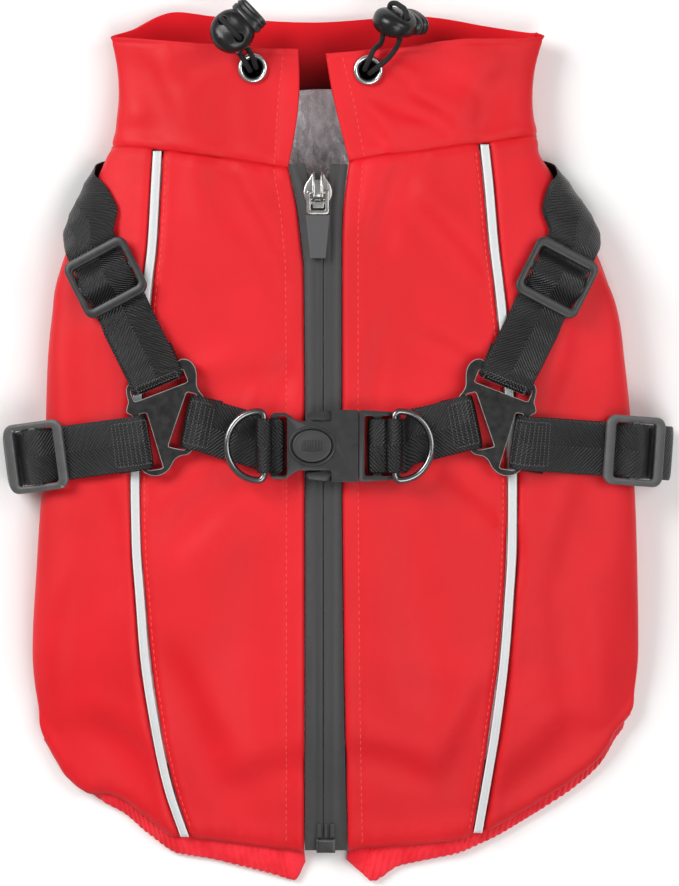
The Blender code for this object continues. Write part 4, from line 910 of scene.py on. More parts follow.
def pile_tufts():
    """Tufts on the far inside face where the slit shows it: each is a bent blade of three steps
    that starts on the lining, leans up the coat by its own angle, and comes to a point"""
    draw = np.random.default_rng(7)
    count = PILE["tufts"]
    x, y = draw.uniform(*PILE["x"], count), draw.uniform(*PILE["y"], count)
    foot = np.stack([x, y, np.full(count, UNDER + WALL + 3 * SEAM + FLEECE - 0.15)], -1)
    part = np.sin(x * 0.55 + 1.3 * np.sin(y * 0.21)) + 0.6 * np.sin(y * 0.37 + x * 0.2)
    heading = np.pi / 2 + 0.7 * part + draw.normal(0, 0.35, count)
    lean = draw.uniform(0.5, 1.0, count)
    size = PILE["long"] * draw.uniform(0.6, 1.15, count)
    level = np.array((0.0, 0.35, 0.7, 1.0))
    flow = np.stack([np.cos(heading), np.sin(heading), 0 * heading], -1)
    aside = np.stack([-np.sin(heading), np.cos(heading), 0 * heading], -1)
    line = foot[:, None] + (level**1.5)[None, :, None] * (size * lean)[:, None, None] * flow[:, None]
    line[..., 2] += level * (size * (1.1 - lean * 0.6))[:, None]
    wide = (PILE["wide"] * np.array((0.5, 0.42, 0.25, 0.02)))[None, :, None] * aside[:, None]
    points = np.stack([line - wide, line + wide], 2).reshape(-1, 3)
    first = (np.arange(count) * 8)[:, None, None] + (np.arange(3) * 2)[None, :, None]
    quads = (first + np.array((0, 1, 3, 2))).reshape(-1, 4)
    return stand("lining_pile", drawn("lining_pile", points, quads.tolist(), FLEECE_FINISH))


fasten(pile_tufts())

# -------------------------------- stand collar
# One strip of softshell round the neck, doubled: the outer face and a facing of the same
# cloth. It stands open like a ring, folded into a box at its left side turn, and both front
# ends are topstitched beside the zip. The drawcord runs in the channel along its top.

FACING = 1.2
TUNNEL = 3.0  # room for the drawcord between collar and facing
WAIST = 3.2  # how far the collar's ends pinch in between seam and top edge

# Top edge of the collar going round the neck: station 0 is its left front end, 1 to 2 the
# left side turn, 3 the middle of the throat, 4 to 5 the right side turn, 6 the right end
COLLAR_TOP = table("""
station     x     y    z
      0 -14.4 137.9   22
    0.3   -34 138.6 21.6
    0.7   -60 140.8   19
    0.9   -75 141.9 14.5
      1 -80.2 142.3   11
    1.5   -73   145  5.5
      2 -57.4 151.4    2
   2.35 -41.8 149.6  1.6
      3  -9.1 147.7  1.6
    3.6  27.7 149.8  1.6
      4  51.2 146.5  2.4
    4.5  66.6 143.9  6.5
      5  72.2 142.7   11
    5.1    66 141.9 14.5
   5.35    46 141.6 19.2
    5.6    29 139.2 21.2
      6  -4.6 136.2 22.4
""")

EYELETS = {"left": (-30.2, 131.0, 22.026), "right": (10.2, 130.3, 22.27)}

COLLAR_CREASES = table("""
  x   y turn long wide rise
-66 122  -70   14    5 -1.4
-48 132   20   12    4 -0.8
-40 112   96   16    6   -1
-24 118  -80   14    5 -0.8
-72 108   10   10    4   -1
 18 126  -20    9    3 -1.4
 26 116  -24   16  3.6 -1.9
 40 130  -30   20    5 -1.4
 30 104    4   12    4 -0.8
 54 118   70   14    5 -1.2
 12 108  -58   10    3   -1
""")


def neck_seam(station):
    """The edge of the body that the collar is sewn to, piece by piece round the neck"""
    s, start = station, np.zeros_like(station)
    parts = [
        (s <= 1, near_point("left", np.clip(s, 0, 1), start)),
        ((s > 1) & (s < 2), turn_point("left", np.radians(90 * np.clip(s - 1, 0, 1)), start)),
        ((s >= 2) & (s <= 4), belly_point(np.clip((s - 2) / 2, 0, 1), start)),
        ((s > 4) & (s < 5), turn_point("right", np.radians(90 * np.clip(5 - s, 0, 1)), start)),
        (s >= 5, near_point("right", np.clip(6 - s, 0, 1), start)),
    ]
    return sum(np.where(here[:, None], point, 0) for here, point in parts)


SLIT_BOW = {"left": 1.7, "right": 0.6}  # how far its front ends bow into the slit
BOW_REACH = 0.14  # stations over which the bow fades


def slit_bow(station):
    """How far each front end of the collar bows into the neck slit half way up it"""
    left = SLIT_BOW["left"] * bell(station, BOW_REACH)
    return left - SLIT_BOW["right"] * bell(6 - station, BOW_REACH)


def collar_grid(station, up):
    """Outer face of the stand collar from the neck seam (up 0) to its top edge (up 1)"""
    seam = neck_seam(station) + [0, -1.5 * SEAM, 0]
    top = np.stack([read(COLLAR_TOP, k, station) for k in "xyz"], -1)
    grid = seam[None] + (top - seam)[None] * up[:, None, None]
    ends = np.clip((np.abs(grid[..., 0] + 5) - 45) / 35, 0, 1)
    grid[..., 0] -= np.sign(grid[..., 0] + 5) * ends * WAIST * 4 * (up * (1 - up))[:, None]
    grid[..., 0] += slit_bow(station) * np.sin(math.pi * np.clip(up, 0, 1) ** 1.2)[:, None]
    return grid


COLLAR_TALL = 44.0  # from the neck seam to the top edge, along the cloth
TOP_GROOVE = 42.2  # stitching below the turned top edge


def collar_relief(grid, station, up):
    """Creases on the upper half, the roll at the seam, grooves below the top edge and along the
    front stitching, puckers, and a dip round each eyelet"""
    x, y = grid[..., 0], grid[..., 1]
    near = np.clip(np.abs(station - 3) - 1.9, 0, 0.3)[None, :] / 0.3
    rise = creases(COLLAR_CREASES, x, y) * near
    tall = up[:, None] * COLLAR_TALL
    rise += -0.7 * bell(tall, 1.2) + 0.3 * bell(tall - 3.5, 2.4)
    rise += -0.25 * bell(tall - TOP_GROOVE, 0.7)
    rise += (seam_pucker(x * 0.9 + y * 0.4, tall, 4.0, 0.16)
             + seam_pucker(x * 1.1, COLLAR_TALL - tall, 4.0, 0.12))
    for hand in HANDS:
        aside = np.abs(x - front_x(hand, up)[:, None])
        rise += -0.25 * bell(aside, 0.8) * near
        from_eye = np.hypot(x - EYELETS[hand][0], y - EYELETS[hand][1])
        rise += -0.35 * bell(from_eye - 5.0, 2.0) * near
    return rise


FRONT_STITCH = table("""
 up  left right
  0 -22.6     9
0.5 -21.4   5.4
  1 -19.4   0.8
""")


def front_x(hand, up):
    """Line of the topstitching at a front end of the collar, from the seam to the top"""
    return read(FRONT_STITCH, hand, up)


def punch_eyelets(piece, high):
    for hand in HANDS:
        ex, ey, ez = EYELETS[hand]
        punch(piece, oval(8.9, 8.9, 40, (ex, ey)), ez - 7, ez + high)


STATIONS = np.unique(np.concatenate([np.linspace(0, 1, 84), np.linspace(1, 2, 26), np.linspace(2, 4, 80),
                                     np.linspace(4, 5, 26), np.linspace(5, 6, 84)]))
UP = 1 - (1 - np.linspace(0, 1, 52)) ** 1.15
grid = collar_grid(STATIONS, UP)
COLLAR_FACE = outward(grid)
COLLAR_POINTS = grid + COLLAR_FACE * collar_relief(grid, STATIONS, UP)[..., None]
collar = panel("collar_shell", COLLAR_POINTS, RED, ["collar_outer"])
punch_eyelets(collar, 4)


def facing_shaded_finish():
    """The facing's red with painted shade: it deepens towards the neck seam, low inside the collar"""
    made, tree, shader = finish_of("softshell_facing_painted_shade", 0.62, specular=0.08)
    gone = split(tree, on_cloth(tree))[1]
    # Painted shade: both colours darken towards the neck seam
    high = ranged(tree, gone, 2.0, 34.0)
    light = blended(tree, high, (0.15, 0.003, 0.004, 1), (0.80, 0.012, 0.021, 1))
    deep = blended(tree, high, (0.10, 0.002, 0.003, 1), (0.70, 0.009, 0.016, 1))
    mottled(tree, shader, in_mm(tree), light, deep, Cloud=0.03, Flecks=0.4)
    woven(tree, shader, 2.2, 0.25, 0.06)
    return made


FACING_RED_SHADED = facing_shaded_finish()
room = TUNNEL * bell(UP - 0.78, 0.16) * (1 - UP**12)
near = np.clip(np.abs(STATIONS - 3) - 2.05, 0, 0.12) / 0.12
depth = WALL + 2.6 * SEAM + room[:, None] * near[None, :]
plain = collar_grid(STATIONS, UP)
grid = (plain - outward(plain) * depth[..., None])[5:]
facing = panel("collar_inside", grid, FACING_RED_SHADED, ["collar_facing"], FACING)

# The fleece runs on over the neck seam on the far side, up to the facing's lower edge
part = np.linspace(0.02, 0.98, 60)
start = np.stack([belly_point(part, np.full_like(part, k)) for k in (0.06, 0.04, 0.02)])
rise = np.concatenate([start, collar_grid(2 + 2 * part, np.linspace(0.0, 0.125, 5))])
rise -= outward(rise) * (WALL + 4 * SEAM)
panel("lining_rise", rise, FLEECE_FINISH, [], FLEECE)

# -------------------------------- knit hem
# A band of ribbed knit sewn to the hem all round, its ribs square to the edge. It is pulled
# in a little, so the ribs bunch unevenly, and at the zip its ends are turned and stitched.

RIB_PITCH = 2.35
RIB_TUCK = 4.0  # how far the band goes in under the cloth


def knit_finish():
    """Red knit: fine stitches in rows, two reds, and a soft, well-used sheen"""
    made, tree, shader = finish_of("rib_knit", 0.8, specular=0.2, sheen_weight=0.12)
    mottled(tree, shader, in_mm(tree), (1.0, 0.035, 0.055, 1), (0.86, 0.015, 0.028, 1), Cloud=0.12, Fleck=1.2,
            Flecks=1.0)
    woven(tree, shader, 1.35, 0.7, 0.14)
    return made


KNIT = knit_finish()
RIB_TAB = 7.5  # plain turned end beside the zip


# Places of the band's section: share of the reach, height, and how much rib it takes
RIB_SECTION = table("""
  out high rib
   -1  0.9   0
 -0.5  0.4   0
 0.45  0.1 0.2
 0.86  0.2 0.7
 0.97 0.75   1
    1 1.25   1
 0.97  1.7   1
 0.88  2.1   1
 0.72  2.4   1
 0.55  2.6   1
 0.38 2.75 0.9
  0.2 2.95 0.8
 0.06  3.1 0.7
-0.15  3.2 0.4
 -0.6  3.3 0.1
   -1  3.4   0
""")


def rib_band(hand):
    """The band's section goes round it column by column: tucked edge, up over the rounded
    outside, and back below. The ribs are a rounded wave of the run along the hem, whose pitch
    and height wander, and they fade out on the turned end"""
    fine = np.linspace(0.003, 0.985, 900)
    hem = near_point(hand, fine, np.ones_like(fine))
    run = lengths(hem[:, :2])
    gone = np.linspace(0, run[-1], 620)
    across = np.interp(gone, run, fine)
    x, y = (np.interp(gone, run, hem[:, k]) for k in (0, 1))
    reach = near_end("rib", hand, across)
    slant = -out(hand) * 2.2 * reach / 9
    phase = 2 * np.pi * (gone / RIB_PITCH + 0.28 * np.sin(gone / 9.0) + 0.16 * np.sin(gone / 3.7 + 1))
    wave = 0.5 - 0.5 * np.cos(phase)
    under = covered(hand, x)
    reach = reach * (1 - 0.3 * under)
    fade = np.clip((gone - RIB_TAB) / 1.2, 0, 1) * np.clip((run[-1] - gone) / 4, 0, 1)
    fade *= 1 - 0.8 * under
    groove = bell(gone - RIB_TAB, 0.45)
    rib = fade * (wave**0.8) * (0.62 + 0.22 * np.sin(gone / 6.3 + out(hand)) + 0.12 * np.sin(gone / 2.9))
    lump = 0.5 * np.sin(gone / 5.1 + 0.7) + 0.35 * np.sin(gone / 2.3 + 2)
    share, high, take = (RIB_SECTION[k][None, :] for k in ("out", "high", "rib"))
    outer = np.maximum(share, 0)
    scallop = (rib * 0.55 + lump * 0.12 * fade)[:, None] * np.clip((outer - 0.5) * 2, 0, 1)
    points = np.stack([
        x[:, None] + slant[:, None] * outer,
        y[:, None] - reach[:, None] * outer - np.minimum(share, 0) * RIB_TUCK - scallop,
        np.broadcast_to(high, (len(gone), high.shape[1])) + 0.0,
    ], -1)
    points[..., 2] += take * (rib * 0.75 - groove * 0.5 + lump * 0.14 * fade)[:, None] * np.sign(high - 1.0)
    points[..., 2] -= 0.9 * under[:, None] * take * (high > 1.5)
    points[..., 2] = np.maximum(points[..., 2], 0.05)
    return points


def far_band():
    """The band on the far side: the same ribs on a plain section, straight along the belly's hem"""
    part = np.linspace(0.085, 0.915, 700)
    edge = belly_point(part, np.ones_like(part))[:, :2]
    gone = lengths(edge)
    wave = 0.5 - 0.5 * np.cos(2 * np.pi * (gone / RIB_PITCH + 0.3 * np.sin(gone / 8.0)))[:, None]
    down = np.array((0.3, 0.3, 3.0, 6.0, 7.5, 8.2, 8.5, 8.2, 7.5, 4.0))
    high = np.array((0.4, 3.6, 3.3, 3.05, 2.9, 2.2, 1.4, 0.6, 0.0, 0.1))
    swell = 0.5 * wave * np.array((0, 0, 1, 1, 1, 0.6, 0.4, 0.2, 0, 0))
    x, y = edge[:, :1] + 0 * down, edge[:, 1:] - down - 0.35 * wave * (down > 7)
    return np.stack([x, y, high + swell], -1)


for part, grid in (("left", rib_band("left")), ("right", rib_band("right")), ("belly", far_band())):
    closed("hem_knit_" + part, grid, KNIT, "rib_knit", ["hem_rib_" + part])

# -------------------------------- reflective piping
# A thin cord in a silver reflective strip, sewn into each seam between back and side. Only
# its rounded top shows, with a pale woven edge on both sides of the silver.

PIPE_W = 3.0
PIPE_PROUD = 0.7


def piping_finish():
    """Silver glass-bead strip with a white woven edge, told apart by the height on the piping"""
    made, tree, shader = finish_of("piping_silver", 0.38, coat_weight=0.15)
    where = split(tree, on_cloth(tree))[0]
    bead = add(tree, "ShaderNodeTexVoronoi", {"Vector": on_cloth(tree), "Scale": 5.0}).outputs[0]
    edge = ranged(tree, maths(tree, "ABSOLUTE", maths(tree, "SUBTRACT", where, 3.25)), 0.95, 1.2)
    silver = blended(tree, bead, (0.70, 0.73, 0.74, 1), (0.58, 0.61, 0.62, 1))
    paint(tree, shader, blended(tree, edge, silver, (0.95, 0.94, 0.93, 1)))
    relief(tree, shader, bead, 0.35, 0.1)
    return made


PIPING_FINISH = piping_finish()
for hand in HANDS:
    along = np.linspace(0.004, 0.997, 240)
    across = pipe_across(hand, along, 0)
    middle = near_point(hand, across, along)
    middle[:, 2] += 0.25 * creases(CREASES, middle[:, 0], middle[:, 1])
    angle = sweep(0, 180, 13)
    cap = np.stack([PIPE_W / 2 * np.cos(angle), 0.2 + PIPE_PROUD * np.sin(angle)], -1)
    section = np.concatenate([[(PIPE_W / 2, -1.2)], cap, [(-PIPE_W / 2, -1.2)]])
    rings = middle[:, None] + section[None, :, [0, 0, 1]] * [1, 0, 1]
    closed("piping_silver_" + hand, rings, PIPING_FINISH, "reflective", ["piping_" + hand])

# -------------------------------- zip
# A coil zip whose tapes are coated in grey rubber: two flat lips meet over the coil, so only
# a fine line shows. The tapes part above the slider. Slider, pull frame and bottom box are
# cast and plated or moulded, and the pull ends in a rubber tab.

ZIP_X = -5.5  # where the closed teeth meet
V_FOOT = 82.0  # the tapes part above this
SLIDER = {"x": -7.4, "y": 88.9, "lift": 0.55, "body": 2.4, "bridge": 3.4}
PULL = {"frame_w": 7.6, "frame_l": 8.6, "wire": 1.3, "tab_w": 8.6, "tab_end": 5.6,
        "tab_l": 15.2, "tab_t": 2.2, "droop": 4.5}


def tape_inner(hand, y):
    """Edge of a tape beside the teeth: straight when closed, apart above the slider"""
    apart = np.clip((y - V_FOOT) / 14.0, 0, 1)
    return ZIP_X + out(hand) * (0.2 + apart * (4.6 if hand == "left" else 3.6)) - apart * 1.6


def zip_height(y):
    """Height of the two tapes, a little below the cloth beside them"""
    return top_z("left", zip_x("left", y), y) - 0.3


def pale_edge_finish(name, light, dark, roughness, grain, metallic=0.0, pale_by="edges", **sockets):
    """Moulded or coated stuff: a colour that drifts a little, paler at edges, and a
    fine grain. Edges are told from the mesh's pointiness, which has to be an even mesh, or from a named
    attribute, which on the plates is a painted highlight along their upward rims, or there are none at all"""
    made, tree, shader = finish_of(name, roughness, metallic, **sockets)
    edge = 0.5
    if pale_by == "edges":
        edge = add(tree, "ShaderNodeNewGeometry").outputs["Pointiness"]
    # A named attribute here paints a highlight, as on the plates' rims
    elif pale_by:
        edge = add(tree, "ShaderNodeAttribute", attribute_name=pale_by).outputs["Fac"]
    paled = placed_effect(tree, PALE_EDGE, Where=in_mm(tree), Edge=edge, Light=light, Dark=dark, Grain=grain)
    paint(tree, shader, paled["Colour"])
    paint(tree, shader, maths(tree, "MULTIPLY_ADD", paled["Drift"], 0.16, roughness - 0.08), "Roughness")
    relief(tree, shader, paled["Grain"], 0.3 - 0.24 * metallic, 0.04)
    return made


def pale_edge_effect():
    """Paler edges and grain: the given edge value, the mesh's own pointiness or a painted-highlight attribute,
    broken by noise, picks the paler colour
    """
    tree, given, result = effect(
        "pale_edge_group", {"Colour": "Color", "Drift": "Float", "Grain": "Float"}, Where=None, Edge=0.5,
        Light=(0.2, 0.2, 0.2, 1), Dark=(0.02, 0.02, 0.02, 1), Grain=4.0)
    drift = noise(tree, given["Where"], 0.35, 3.0)
    sharp = ranged(tree, given["Edge"], 0.51, 0.62)
    broken = maths(tree, "MULTIPLY", sharp, maths(tree, "ADD", drift, 0.3))
    share = maths(tree, "ADD", broken, maths(tree, "MULTIPLY", drift, 0.12))
    share = add(tree, "ShaderNodeClamp", {0: share}).outputs[0]
    tree.links.new(blended(tree, share, given["Dark"], given["Light"]), result["Colour"])
    tree.links.new(drift, result["Drift"])
    tree.links.new(noise(tree, given["Where"], given["Grain"]), result["Grain"])
    return tree


PALE_EDGE = pale_edge_effect()
TAPE = pale_edge_finish("zip_tape_rubber", (0.085, 0.084, 0.084, 1), (0.050, 0.049, 0.049, 1), 0.5, 2.2,
                     specular=0.25)
PLATED = pale_edge_finish("zip_plated", (0.8, 0.79, 0.77, 1), (0.44, 0.435, 0.42, 1), 0.28, 3.0, 1.0, pale_by="")
RUBBER = pale_edge_finish("pull_rubber", (0.15, 0.15, 0.155, 1), (0.09, 0.09, 0.094, 1), 0.55, 5.0,
                       specular=0.25)


def tape_grid(hand):
    """Section across a tape: flat from under the cloth, a groove where the lip is welded, the
    lip's soft round over the coil, and its flat underside"""
    y = np.linspace(97.5, -143.4, 420)[:, None]
    inner = tape_inner(hand, y)
    wide = np.abs(inner - zip_x(hand, y) + out(hand) * SEAM)
    from_inner = np.array((9, 3.4, 2.75, 2.4, 2.05, 1.5, 0.9, 0.45, 0.1, -0.09, -0.09, 0.12, 9))
    high = np.array((0, 0.02, 0.0, -0.1, 0.02, 0.16, 0.22, 0.22, 0.18, 0.05, -1.0, -1.25, -1.3))
    x = inner + out(hand) * np.minimum(from_inner, wide)
    z = zip_height(y) + high + 0.05 * np.sin(y / 3.1) * (from_inner > 1) * (high > -0.5)
    return np.stack([x, y + 0 * x, z], -1)


COIL = {"pitch": 1.45, "wire": 0.3, "reach": 2.1, "from": 97.0, "to": 74.0}


def coil_grid(hand):
    """The coil of one tape: a wire wound round the tape's edge, its loops flattened"""
    turns = (COIL["from"] - COIL["to"]) / COIL["pitch"]
    angle = np.linspace(0, turns * 2 * np.pi, int(turns * 14))
    y = COIL["from"] - COIL["pitch"] * angle / (2 * np.pi) - (0 if hand == "left" else COIL["pitch"] / 2)
    x = tape_inner(hand, y) - out(hand) * (COIL["reach"] / 2) * np.cos(angle) + out(hand) * 0.5
    z = zip_height(y) - 0.85 + 0.62 * np.sin(angle)
    return tube(np.stack([x, y, z], -1), COIL["wire"], 6)


COIL_FINISH = pale_edge_finish("coil_nylon", (0.2, 0.2, 0.2, 1), (0.03, 0.03, 0.032, 1), 0.4, 5.0)
for hand in HANDS:
    closed("tape_" + hand, tape_grid(hand), TAPE, "zip_tape", ["zip_tape_" + hand])
for hand in HANDS:
    closed("coil_" + hand, coil_grid(hand), COIL_FINISH, "zip_tape")


def moved(way):
    return Matrix.Translation(Vector(way) * MM)


def placed(origin, along, across):
    """Placement with local X along a piece, local Y across it and local Z off the cloth"""
    along = Vector(along).normalized()
    normal = along.cross(Vector(across)).normalized()
    return moved(origin) @ Matrix((along, normal.cross(along), normal)).transposed().to_4x4()


def slope_frame(x, y, lift):
    """Frame on the zip line with local X to the right and local Y up the coat"""
    rise = (zip_height(y + 4) - zip_height(y - 4)) / 8
    return placed((x, y, zip_height(y) + lift), (1, 0, 0), (0, 1, rise))


def pull_place():
    """The pull's own frame: its hinge bar lies along local X inside the slider's bridge"""
    turn = Matrix.Rotation(math.radians(PULL["droop"]), 4, "X")
    base = slope_frame(SLIDER["x"], SLIDER["y"], SLIDER["lift"])
    return base @ moved((0, -0.6, SLIDER["body"] + 1.3)) @ turn @ moved((0, -0.9, 0))


def put(place, points):
    """Points from a piece's own frame to the coat's, in millimetres"""
    return np.asarray(points, float) @ np.array(place.to_3x3()).T + np.array(place.translation) / MM


def fit(name, place, grid, *finish_and_slot, **more):
    """A hard piece, drawn in its own frame"""
    return closed(name, put(place, grid), *finish_and_slot, **more)


def read_line(at, gone, line):
    """Points of a line at distances gone along it"""
    return np.stack([np.interp(at, gone, line[:, k]) for k in range(line.shape[1])], -1)


def round_line(corners, count, reach=None):
    """A closed line through corners, each cut three times over, evenly spaced. With a reach, only
    that far on either side of a corner is rounded"""
    line = np.asarray(corners, float)
    if reach:
        back, ahead = (unit(np.roll(line, k, 0) - line) * reach for k in (1, -1))
        line = np.stack([line + back, line, line + ahead], 1).reshape(-1, 2)
    for _ in range(3):
        after = np.roll(line, -1, 0)
        line = np.stack([0.75 * line + 0.25 * after, 0.25 * line + 0.75 * after], 1).reshape(-1, 2)
    whole = np.concatenate([line, line[:1]])
    gone = lengths(whole)
    return read_line(np.linspace(0, gone[-1], count, endpoint=False), gone, whole)


def inset(line, gap):
    """A closed flat line moved inwards square to itself"""
    ahead = np.roll(line, -1, 0) - np.roll(line, 1, 0)
    side = unit(np.stack([-ahead[:, 1], ahead[:, 0]], -1))
    area = (line[:, 0] * np.roll(line[:, 1], -1) - np.roll(line[:, 0], -1) * line[:, 1]).sum()
    return line + side * gap * np.sign(area)


def slab(line, low, high, rim, crown=0.0):
    """A moulded block over a closed line: rims rounded by a quarter circle, and a top that swells
    by crown towards its middle"""
    turn = sweep(0, 90, 5)
    below = [(rim * (1 - np.sin(a)), low + rim * (1 - np.cos(a))) for a in turn]
    above = [(rim * (1 - np.cos(a)), high - rim * (1 - np.sin(a))) for a in turn]
    rows = [raised(inset(line, gap), z) for gap, z in below + above]
    last, middle = rows[-1], rows[-1].mean(0)
    for share in (0.75, 0.5, 0.25, 0.06):
        ring = middle + (last - middle) * share
        ring[:, 2] = high + crown * (1 - share**2)
        rows.append(ring)
    return np.stack(rows)


def window_ring(outer, inner, thick, square=0.6):
    """A flat moulded frame: its section goes from the outer line to the inner one and back, as a
    squared round"""
    angle = circle(20)
    share = 0.5 + 0.5 * squared(np.cos(angle), square)
    high = thick / 2 * squared(np.sin(angle), square)
    flat = outer[:, None] * (1 - share)[None, :, None] + inner[:, None] * share[None, :, None]
    return np.concatenate([flat, np.broadcast_to(high[None, :, None], flat.shape[:2] + (1,))], -1)


def rounded(length, width, radius, centre=(0, 0), count=96):
    """Corner-rounded rectangle from angle to angle, so that two of them match point by point"""
    turn = circle(count)
    corner = np.stack([np.sign(np.cos(turn)) * (length / 2 - radius),
                       np.sign(np.sin(turn)) * (width / 2 - radius)], -1)
    quarter = turn % (np.pi / 2) / (np.pi / 2)
    bend = np.clip((quarter - 0.5) * 2.2, -0.5, 0.5) + 0.5
    angle = (turn // (np.pi / 2) + bend) * np.pi / 2
    arc = radius * np.stack([np.cos(angle), np.sin(angle)], -1)
    slide = np.clip(np.abs(quarter - 0.5) * 2 - 1 / 2.2, 0, None) / (1 - 1 / 2.2)
    at = corner + arc
    before = (quarter < 0.5)[:, None]
    even = (np.floor(turn / (np.pi / 2)) % 2 == 0)[:, None]
    middle_x, middle_y = at * [0, 1], at * [1, 0]
    toward = np.where(before == even, middle_y, middle_x)
    return at + (toward - at) * slide[:, None] + centre


def arch_bar(line, wide, thick):
    """A bar with a squared section that follows a line, its flat side up"""
    ahead = unit(np.gradient(line, axis=0))
    up = np.stack([0 * ahead[:, 0], -ahead[:, 2], ahead[:, 1]], -1)
    angle = circle(16)
    wide = wide * squared(np.cos(angle), 0.5)
    thick = thick * squared(np.sin(angle), 0.6)
    return line[:, None] + wide[None, :, None] * np.array((1, 0, 0)) + thick[None, :, None] * up[:, None]


# Half widths of the slider's spade shape, going down from its tip
SPADE = [(2.0, 5.7), (2.6, 4.0), (4.4, 1.6), (5.2, -1.1), (4.9, -3.4), (4.0, -5.0), (2.9, -6.1)]


def slider_shapes():
    """A spade-shaped body, and over it the bridge that holds the pull: two rails with a floor
    between them, and a black block at the tip that paints the shade in its slot"""
    place = slope_frame(SLIDER["x"], SLIDER["y"], SLIDER["lift"])
    body, top = SLIDER["body"], SLIDER["body"] + SLIDER["bridge"]
    shield = round_line([(-x, y) for x, y in SPADE] + SPADE[::-1], 96)
    fit("slider_body", place, slab(shield, 0, body, 0.5, 0.3), PLATED, "zip_metal", ["zip_slider"])
    arch = np.array([(-4.9, 1.6), (-4.6, 3.2), (-3.4, top - 0.8), (-0.4, top - 0.5), (2.6, top - 0.9),
                     (4.9, 3.9), (5.5, 1.7)])
    for i, x in enumerate((-1.45, 1.45)):
        rail = arch_bar(finer([(x, *k) for k in arch], 40), 0.5, 0.5)
        fit(f"slider_rail_{i}", place, rail, PLATED, "zip_metal")
    floor = finer([(0, y, z - 0.35) for y, z in arch[1:5]], 30)
    fit("slider_floor", place, arch_bar(floor, 1.2, 0.3), PLATED, "zip_metal")
    # Painted shade: a black block in the slot at the bridge's tip, which stands in for its shadow
    slot_shade = slab(rounded(2.0, 3.4, 0.3, (0, 4.0)), 1.0, body + 0.5, 0.1)
    fit("slider_slot_shade", place, slot_shade, COIL_FINISH, "zip_metal")


slider_shapes()


def pull_shapes():
    """A cast frame on the slider's bridge with a bar and a plate in its window, and the rubber tab
    moulded onto its end"""
    place, body = pull_place(), "zip_pull"
    wire, width, tall = PULL["wire"], PULL["frame_w"], PULL["frame_l"]
    middle = -tall / 2 + wire / 2
    outer = rounded(width + 0.3, tall, 1.1, (0, middle))
    inner = rounded(width - 2 * wire, tall - 2.9, 0.4, (0, middle + 0.15))
    fit("pull_frame", place, window_ring(outer, inner, 1.2, 0.4), PLATED, "zip_metal", ["zip_pull_frame"],
        body, loop=True)
    bar = finer([(x * (width / 2 - wire + 0.2), -2.7, 0.1) for x in (-1, 0, 1)], 8)
    fit("pull_bar", place, tube(bar, 0.5, 12), PLATED, "zip_metal", body=body)
    plate = slab(rounded(3.9, 2.2, 0.3, (0.15, -4.6)), -0.6, 0.1, 0.15)
    fit("pull_plate", place, plate, PLATED, "zip_metal", body=body)
    top = -tall + wire / 2 - 0.15
    end, wide, narrow = top - PULL["tab_l"], PULL["tab_w"] / 2, PULL["tab_end"] / 2
    line = round_line([(-wide, top), (-narrow, end), (narrow, end), (wide, top)], 96, 0.7)
    fit("pull_tab", place, slab(line, -1.0, PULL["tab_t"] - 1.0, 0.45), RUBBER, "pull_rubber", ["zip_pull_tab"],
        body)


pull_shapes()
BOX_FINISH = pale_edge_finish("box_gloss", (0.35, 0.35, 0.36, 1), (0.012, 0.012, 0.013, 1), 0.2, 3.0)
place = slope_frame(-4.6, -141.4, 0.45)
corners = [(-3.3, 2.4), (-3.3, -2.4), (3.3, -2.4), (3.3, 2.4)]
fit("bottom_box", place, slab(round_line(corners, 96, 0.5), 0, 2.2, 0.35), BOX_FINISH, "zip_tape",
    ["zip_box"])
for i, (x, wide) in enumerate(((-2.3, 1.6), (0.0, 1.0), (2.3, 1.6))):
    fit(f"box_pin_{i}", place, slab(rounded(wide, 5.2, 0.3, (x, 5.4)), -0.2, 0.9, 0.25), TAPE, "zip_tape")

# -------------------------------- eyelets and cord locks
# Rolled nickel eyelets are set through the collar. Each cord lock is a flattened ball of
# black plastic with two cord holes in a shallow recess, and a sprung plunger in its rim.

EYELET = {"flange": 10.5, "barrel": 8.2, "hole": 7.0}
LOCK = {"width": 15.8, "depth": 10.2, "hole": 2.8, "spread": 4.4}
PLUNGER = {"long": 13.2, "high": 7.4, "from": 5.6}
LOCKS = {
    "left": {"at": (-37.2, 143.6, 31.6), "axis": (-0.16, 0.2, 0.96), "pair": (0.68, -0.72, 0.25)},
    "right": {"at": (19.6, 146.9, 25.4), "axis": (0.26, 0.9, 0.36), "pair": (0.62, -0.28, 0.66)},
}

NICKEL = pale_edge_finish("eyelet_nickel", (0.9, 0.9, 0.89, 1), (0.6, 0.6, 0.6, 1), 0.24, 4.0, 1.0, pale_by="")
MOULDED = pale_edge_finish("moulded_black", (0.09, 0.09, 0.095, 1), (0.006, 0.006, 0.0065, 1), 0.27, 3.0,
                         specular=0.42)


def turned_ring(profile, count):
    """A closed profile of (radius, height) carried round the upright axis"""
    angle = circle(count)[:, None]
    radius, high = np.asarray(profile, float).T
    return np.stack([radius * np.cos(angle), radius * np.sin(angle), high + 0 * angle], -1)
